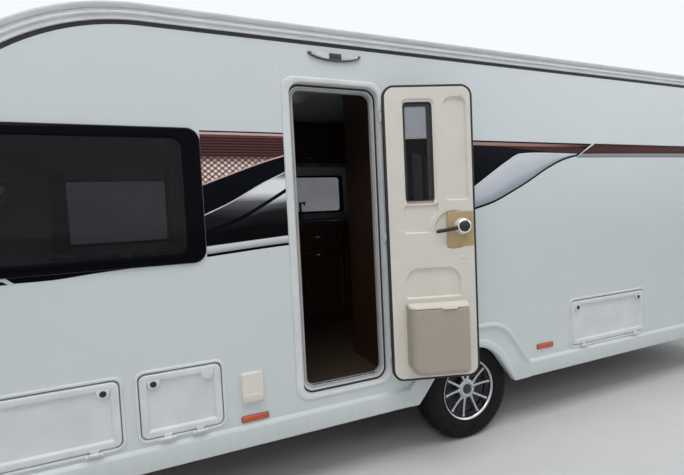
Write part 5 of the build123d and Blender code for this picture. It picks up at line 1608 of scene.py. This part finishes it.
def kept_between(obj, low, high):
    """Hold every point of a piece inside its space."""
    for vertex in obj.data.vertices:
        for k in range(3):
            vertex.co[k] = min(max(vertex.co[k], low[k]), high[k])


def rested(obj, axis, level, way):
    """Keep a pad flat where it rests."""
    for vertex in obj.data.vertices:
        if way * (vertex.co[axis] - level) < 0:
            vertex.co[axis] = level


def channel(away):
    """Depth of a sewn channel at a distance from its line."""
    return 0.007 * math.exp(-(away / 0.009) ** 2)


def sewn(obj, low, high, back):
    """Sewn channels across the pad's outer face, pressed a few millimetres in."""
    wide, tall = high.x - low.x, high.z - low.z
    for vertex in obj.data.vertices:
        if back:
            press = channel(((vertex.co.z - low.z) / tall - 0.66) * tall)
            if abs(vertex.co.y) < ROOM_EDGE - BACKREST * 0.55:
                vertex.co.y += press if vertex.co.y > 0 else -press
        elif vertex.co.z > lerp(low.z, high.z, 0.6):
            share = (vertex.co.x - low.x) / wide
            for seam in (1 / 3, 2 / 3):
                vertex.co.z -= channel((share - seam) * wide)


def piping(name, pad, low, high, outline, level, place):
    """Corded seam round the pad's outer edge, laid on its surface."""
    tree = bvhtree.BVHTree.FromObject(pad, bpy.context.evaluated_depsgraph_get())
    edge = subdivided(rounded(box_corners(*outline, 0.06), arcs=6), 0.03)
    path = [tree.find_nearest(place(*p, level))[0] for p, _ in edge]
    cord = Form()
    cord.tube(path + path[:1], 0.0032, 8)
    kept_between(cord.piece(name + "_piping", "piping"), low, high)


def cushion(name, side, x0, x1, back):
    """One seat or back cushion with its channels and piping."""
    outer = ROOM_EDGE - 0.001
    base = SEAT_TOP + (CUSHION if back else 0) + 0.0005
    top = BACKREST_TOP if back else SEAT_TOP + CUSHION
    ends = sorted((side * (ROOM_EDGE - BACKREST if back else SEAT_INNER), side * outer))
    low, high = at(x0, ends[0], base), at(x1, ends[1], top)
    a0, a1 = low.x + BALL_AHEAD, high.x + BALL_AHEAD
    if back:
        place = lambda a, b, h: at(a, side * (outer - h), b)
        form = pad_start(x0, x1, base, top, 0.001, BACKREST, place)
        outline = (a0, a1, low.z + BALL_HEIGHT, high.z + BALL_HEIGHT)
        level, rest = BACKREST - 0.03, (1, side * outer, -side)
    else:
        place = lambda a, b, h: at(a, b, base + h)
        form = pad_start(x0, x1, *ends, 0.0005, CUSHION, place)
        outline = (a0, a1, low.y, high.y)
        level, rest = CUSHION - 0.03, (2, low.z + 0.0005, 1)
    obj = form.piece(name, "upholstery", "body", ("seat_cushions",), 70)
    applied(obj, "REMESH", mode="VOXEL", voxel_size=0.011)
    swell(obj, 0.016)
    kept_between(obj, low, high)
    rested(obj, *rest)
    sewn(obj, low, high, back)
    obj.data.shade_smooth()
    applied(obj, "SUBSURF", levels=1, render_levels=1)
    obj.data.materials.clear()
    obj.data.materials.append(MATERIALS["upholstery"])
    piping(name, obj, low, high, outline, level, place)


def cushions():
    """Two seat pads and two back pads on each side."""
    for side, label, rear in SEATS:
        x0 = rear + 0.006
        long = (SEATS_FRONT - 0.006 - x0) / 2
        for k in (0, 1):
            ends = (x0 + k * long + 0.002, x0 + (k + 1) * long - 0.002)
            cushion(f"seat_pad_{label}_{k}", side, *ends, False)
            cushion(f"back_pad_{label}_{k}", side, *ends, True)


CURTAIN_TOP = 1.99
CURTAIN_FOOT = 1.3
CURTAIN_FOLDS = 6
CURTAIN_ROWS = 30
CURTAIN_STEPS = 72


def curtain_row(x0, x1, side, share):
    """Folded line of a curtain at a share of its drop; it swings and spreads more lower down."""
    middle, flare, swing = (x0 + x1) / 2, 1 + 0.1 * share, 0.011 + 0.004 * share
    z = lerp(CURTAIN_TOP, CURTAIN_FOOT, share)
    row = []
    for t in (j / CURTAIN_STEPS for j in range(CURTAIN_STEPS + 1)):
        y = ROOM_EDGE - 0.026 + swing * math.sin(t * CURTAIN_FOLDS * 2 * math.pi + 0.6 * math.sin(3 * share))
        row.append(at(middle + (lerp(x0, x1, t) - middle) * flare, side * y, z))
    return row


def curtains():
    """Folded curtain at each end of the two front side windows, hanging from its rail."""
    for side, label in SIDES:
        for end, (x0, x1) in enumerate(((1.6, 1.72), (2.5, 2.62))):
            form = Form()
            rows = [curtain_row(x0, x1, side, k / (CURTAIN_ROWS - 1)) for k in range(CURTAIN_ROWS)]
            form.rows(rows, closed=False)
            obj = form.piece(f"curtain_{label}_{end}", "curtain")


def dress_nodes():
    """Give every CAD node its finish."""
    for entry in frame["record"]["subparts"]:
        obj = frame["nodes"][entry["node"]]
        obj.data.materials.clear()
        obj.data.materials.append(MATERIALS[entry["material_slot"]])


def camera():
    """Camera at the photo's place and angle."""
    yaw, pitch, roll = (math.radians(v) for v in (CAMERA_YAW, CAMERA_PITCH, CAMERA_ROLL))
    ahead = Vector((-math.sin(yaw) * math.cos(pitch), -math.cos(yaw) * math.cos(pitch), -math.sin(pitch)))
    level = Vector((-math.cos(yaw), math.sin(yaw), 0))
    above = level.cross(ahead)
    right = level * math.cos(roll) + above * math.sin(roll)
    up = above * math.cos(roll) - level * math.sin(roll)
    data = bpy.data.cameras.new("camera")
    data.sensor_width = SENSOR_MM
    data.lens = CAMERA_FOCAL_PX / IMAGE_WIDE_PX * SENSOR_MM
    data.clip_start = 0.05
    obj = bpy.data.objects.new("camera", data)
    bpy.context.scene.collection.objects.link(obj)
    obj.matrix_world = Matrix.Translation(at(*CAMERA_AT)) @ Matrix((right, up, -ahead)).transposed().to_4x4()
    bpy.context.scene.camera = obj


def pale_floor():
    """Plain pale floor, faintly uneven."""
    bpy.ops.mesh.primitive_plane_add(size=120, location=at(0, 0, 0))
    floor = bpy.context.object
    floor.name = "floor"
    n = Nodes("floor_pale")
    n.colour(n.ramp(n.noise(3, 3), (0.3, (0.78, 0.78, 0.775)), (0.7, (0.82, 0.82, 0.815))))
    n.roughness(n.noise(5, 3), 0.8, 0.9)
    floor.data.materials.append(n.material)


def area_light(name, place, target, size, power):
    data = bpy.data.lights.new(name, "AREA")
    data.shape = "RECTANGLE"
    data.size, data.size_y = size
    data.energy = power
    obj = bpy.data.objects.new(name, data)
    bpy.context.scene.collection.objects.link(obj)
    obj.location = at(*place)
    obj.rotation_euler = (at(*target) - obj.location).to_track_quat("-Z", "Y").to_euler()


def lights():
    """Four soft lights, and a pale world that shows brighter than it lights."""
    world = bpy.data.worlds.new("world")
    bpy.context.scene.world = world
    world.use_nodes = True
    tree = world.node_tree
    background = tree.nodes["Background"]
    path = tree.nodes.new("ShaderNodeLightPath")
    total = path.outputs["Is Camera Ray"]
    for ray in ("Is Glossy Ray", "Is Transmission Ray"):
        add = tree.nodes.new("ShaderNodeMath")
        add.operation = "MAXIMUM"
        tree.links.new(total, add.inputs[0])
        tree.links.new(path.outputs[ray], add.inputs[1])
        total = add.outputs[0]
    seen = tree.nodes.new("ShaderNodeMix")
    seen.data_type = "FLOAT"
    seen.inputs["A"].default_value = 0.22
    seen.inputs["B"].default_value = 1.0
    tree.links.new(total, seen.inputs["Factor"])
    tree.links.new(seen.outputs["Result"], background.inputs["Strength"])
    background.inputs["Color"].default_value = (0.93, 0.96, 1.0, 1)
    area_light("key", (6, 9, 8), (0, 0, 1.2), (4.5, 3.5), 150)
    area_light("sky", (1.0, 4.4, 9), (0.5, 1.1, 0), (9, 4), 400)
    area_light("fill", (-8, 7, 5), (0, 0, 1.2), (6, 5), 90)
    area_light("back", (0, -9, 7), (0, 0, 1.2), (8, 5), 220)


# Everything in turn

dress_nodes()
camera()
pale_floor()
lights()
edge_rails()
skirts()
side_windows()
lockers()
reflectors()
awning_lamp()
socket_cover()
entrance_frame()
graphics()
entrance_door()
wheels()
kitchen()
cushions()
curtains()

bpy.context.scene.view_settings.view_transform = "Standard"
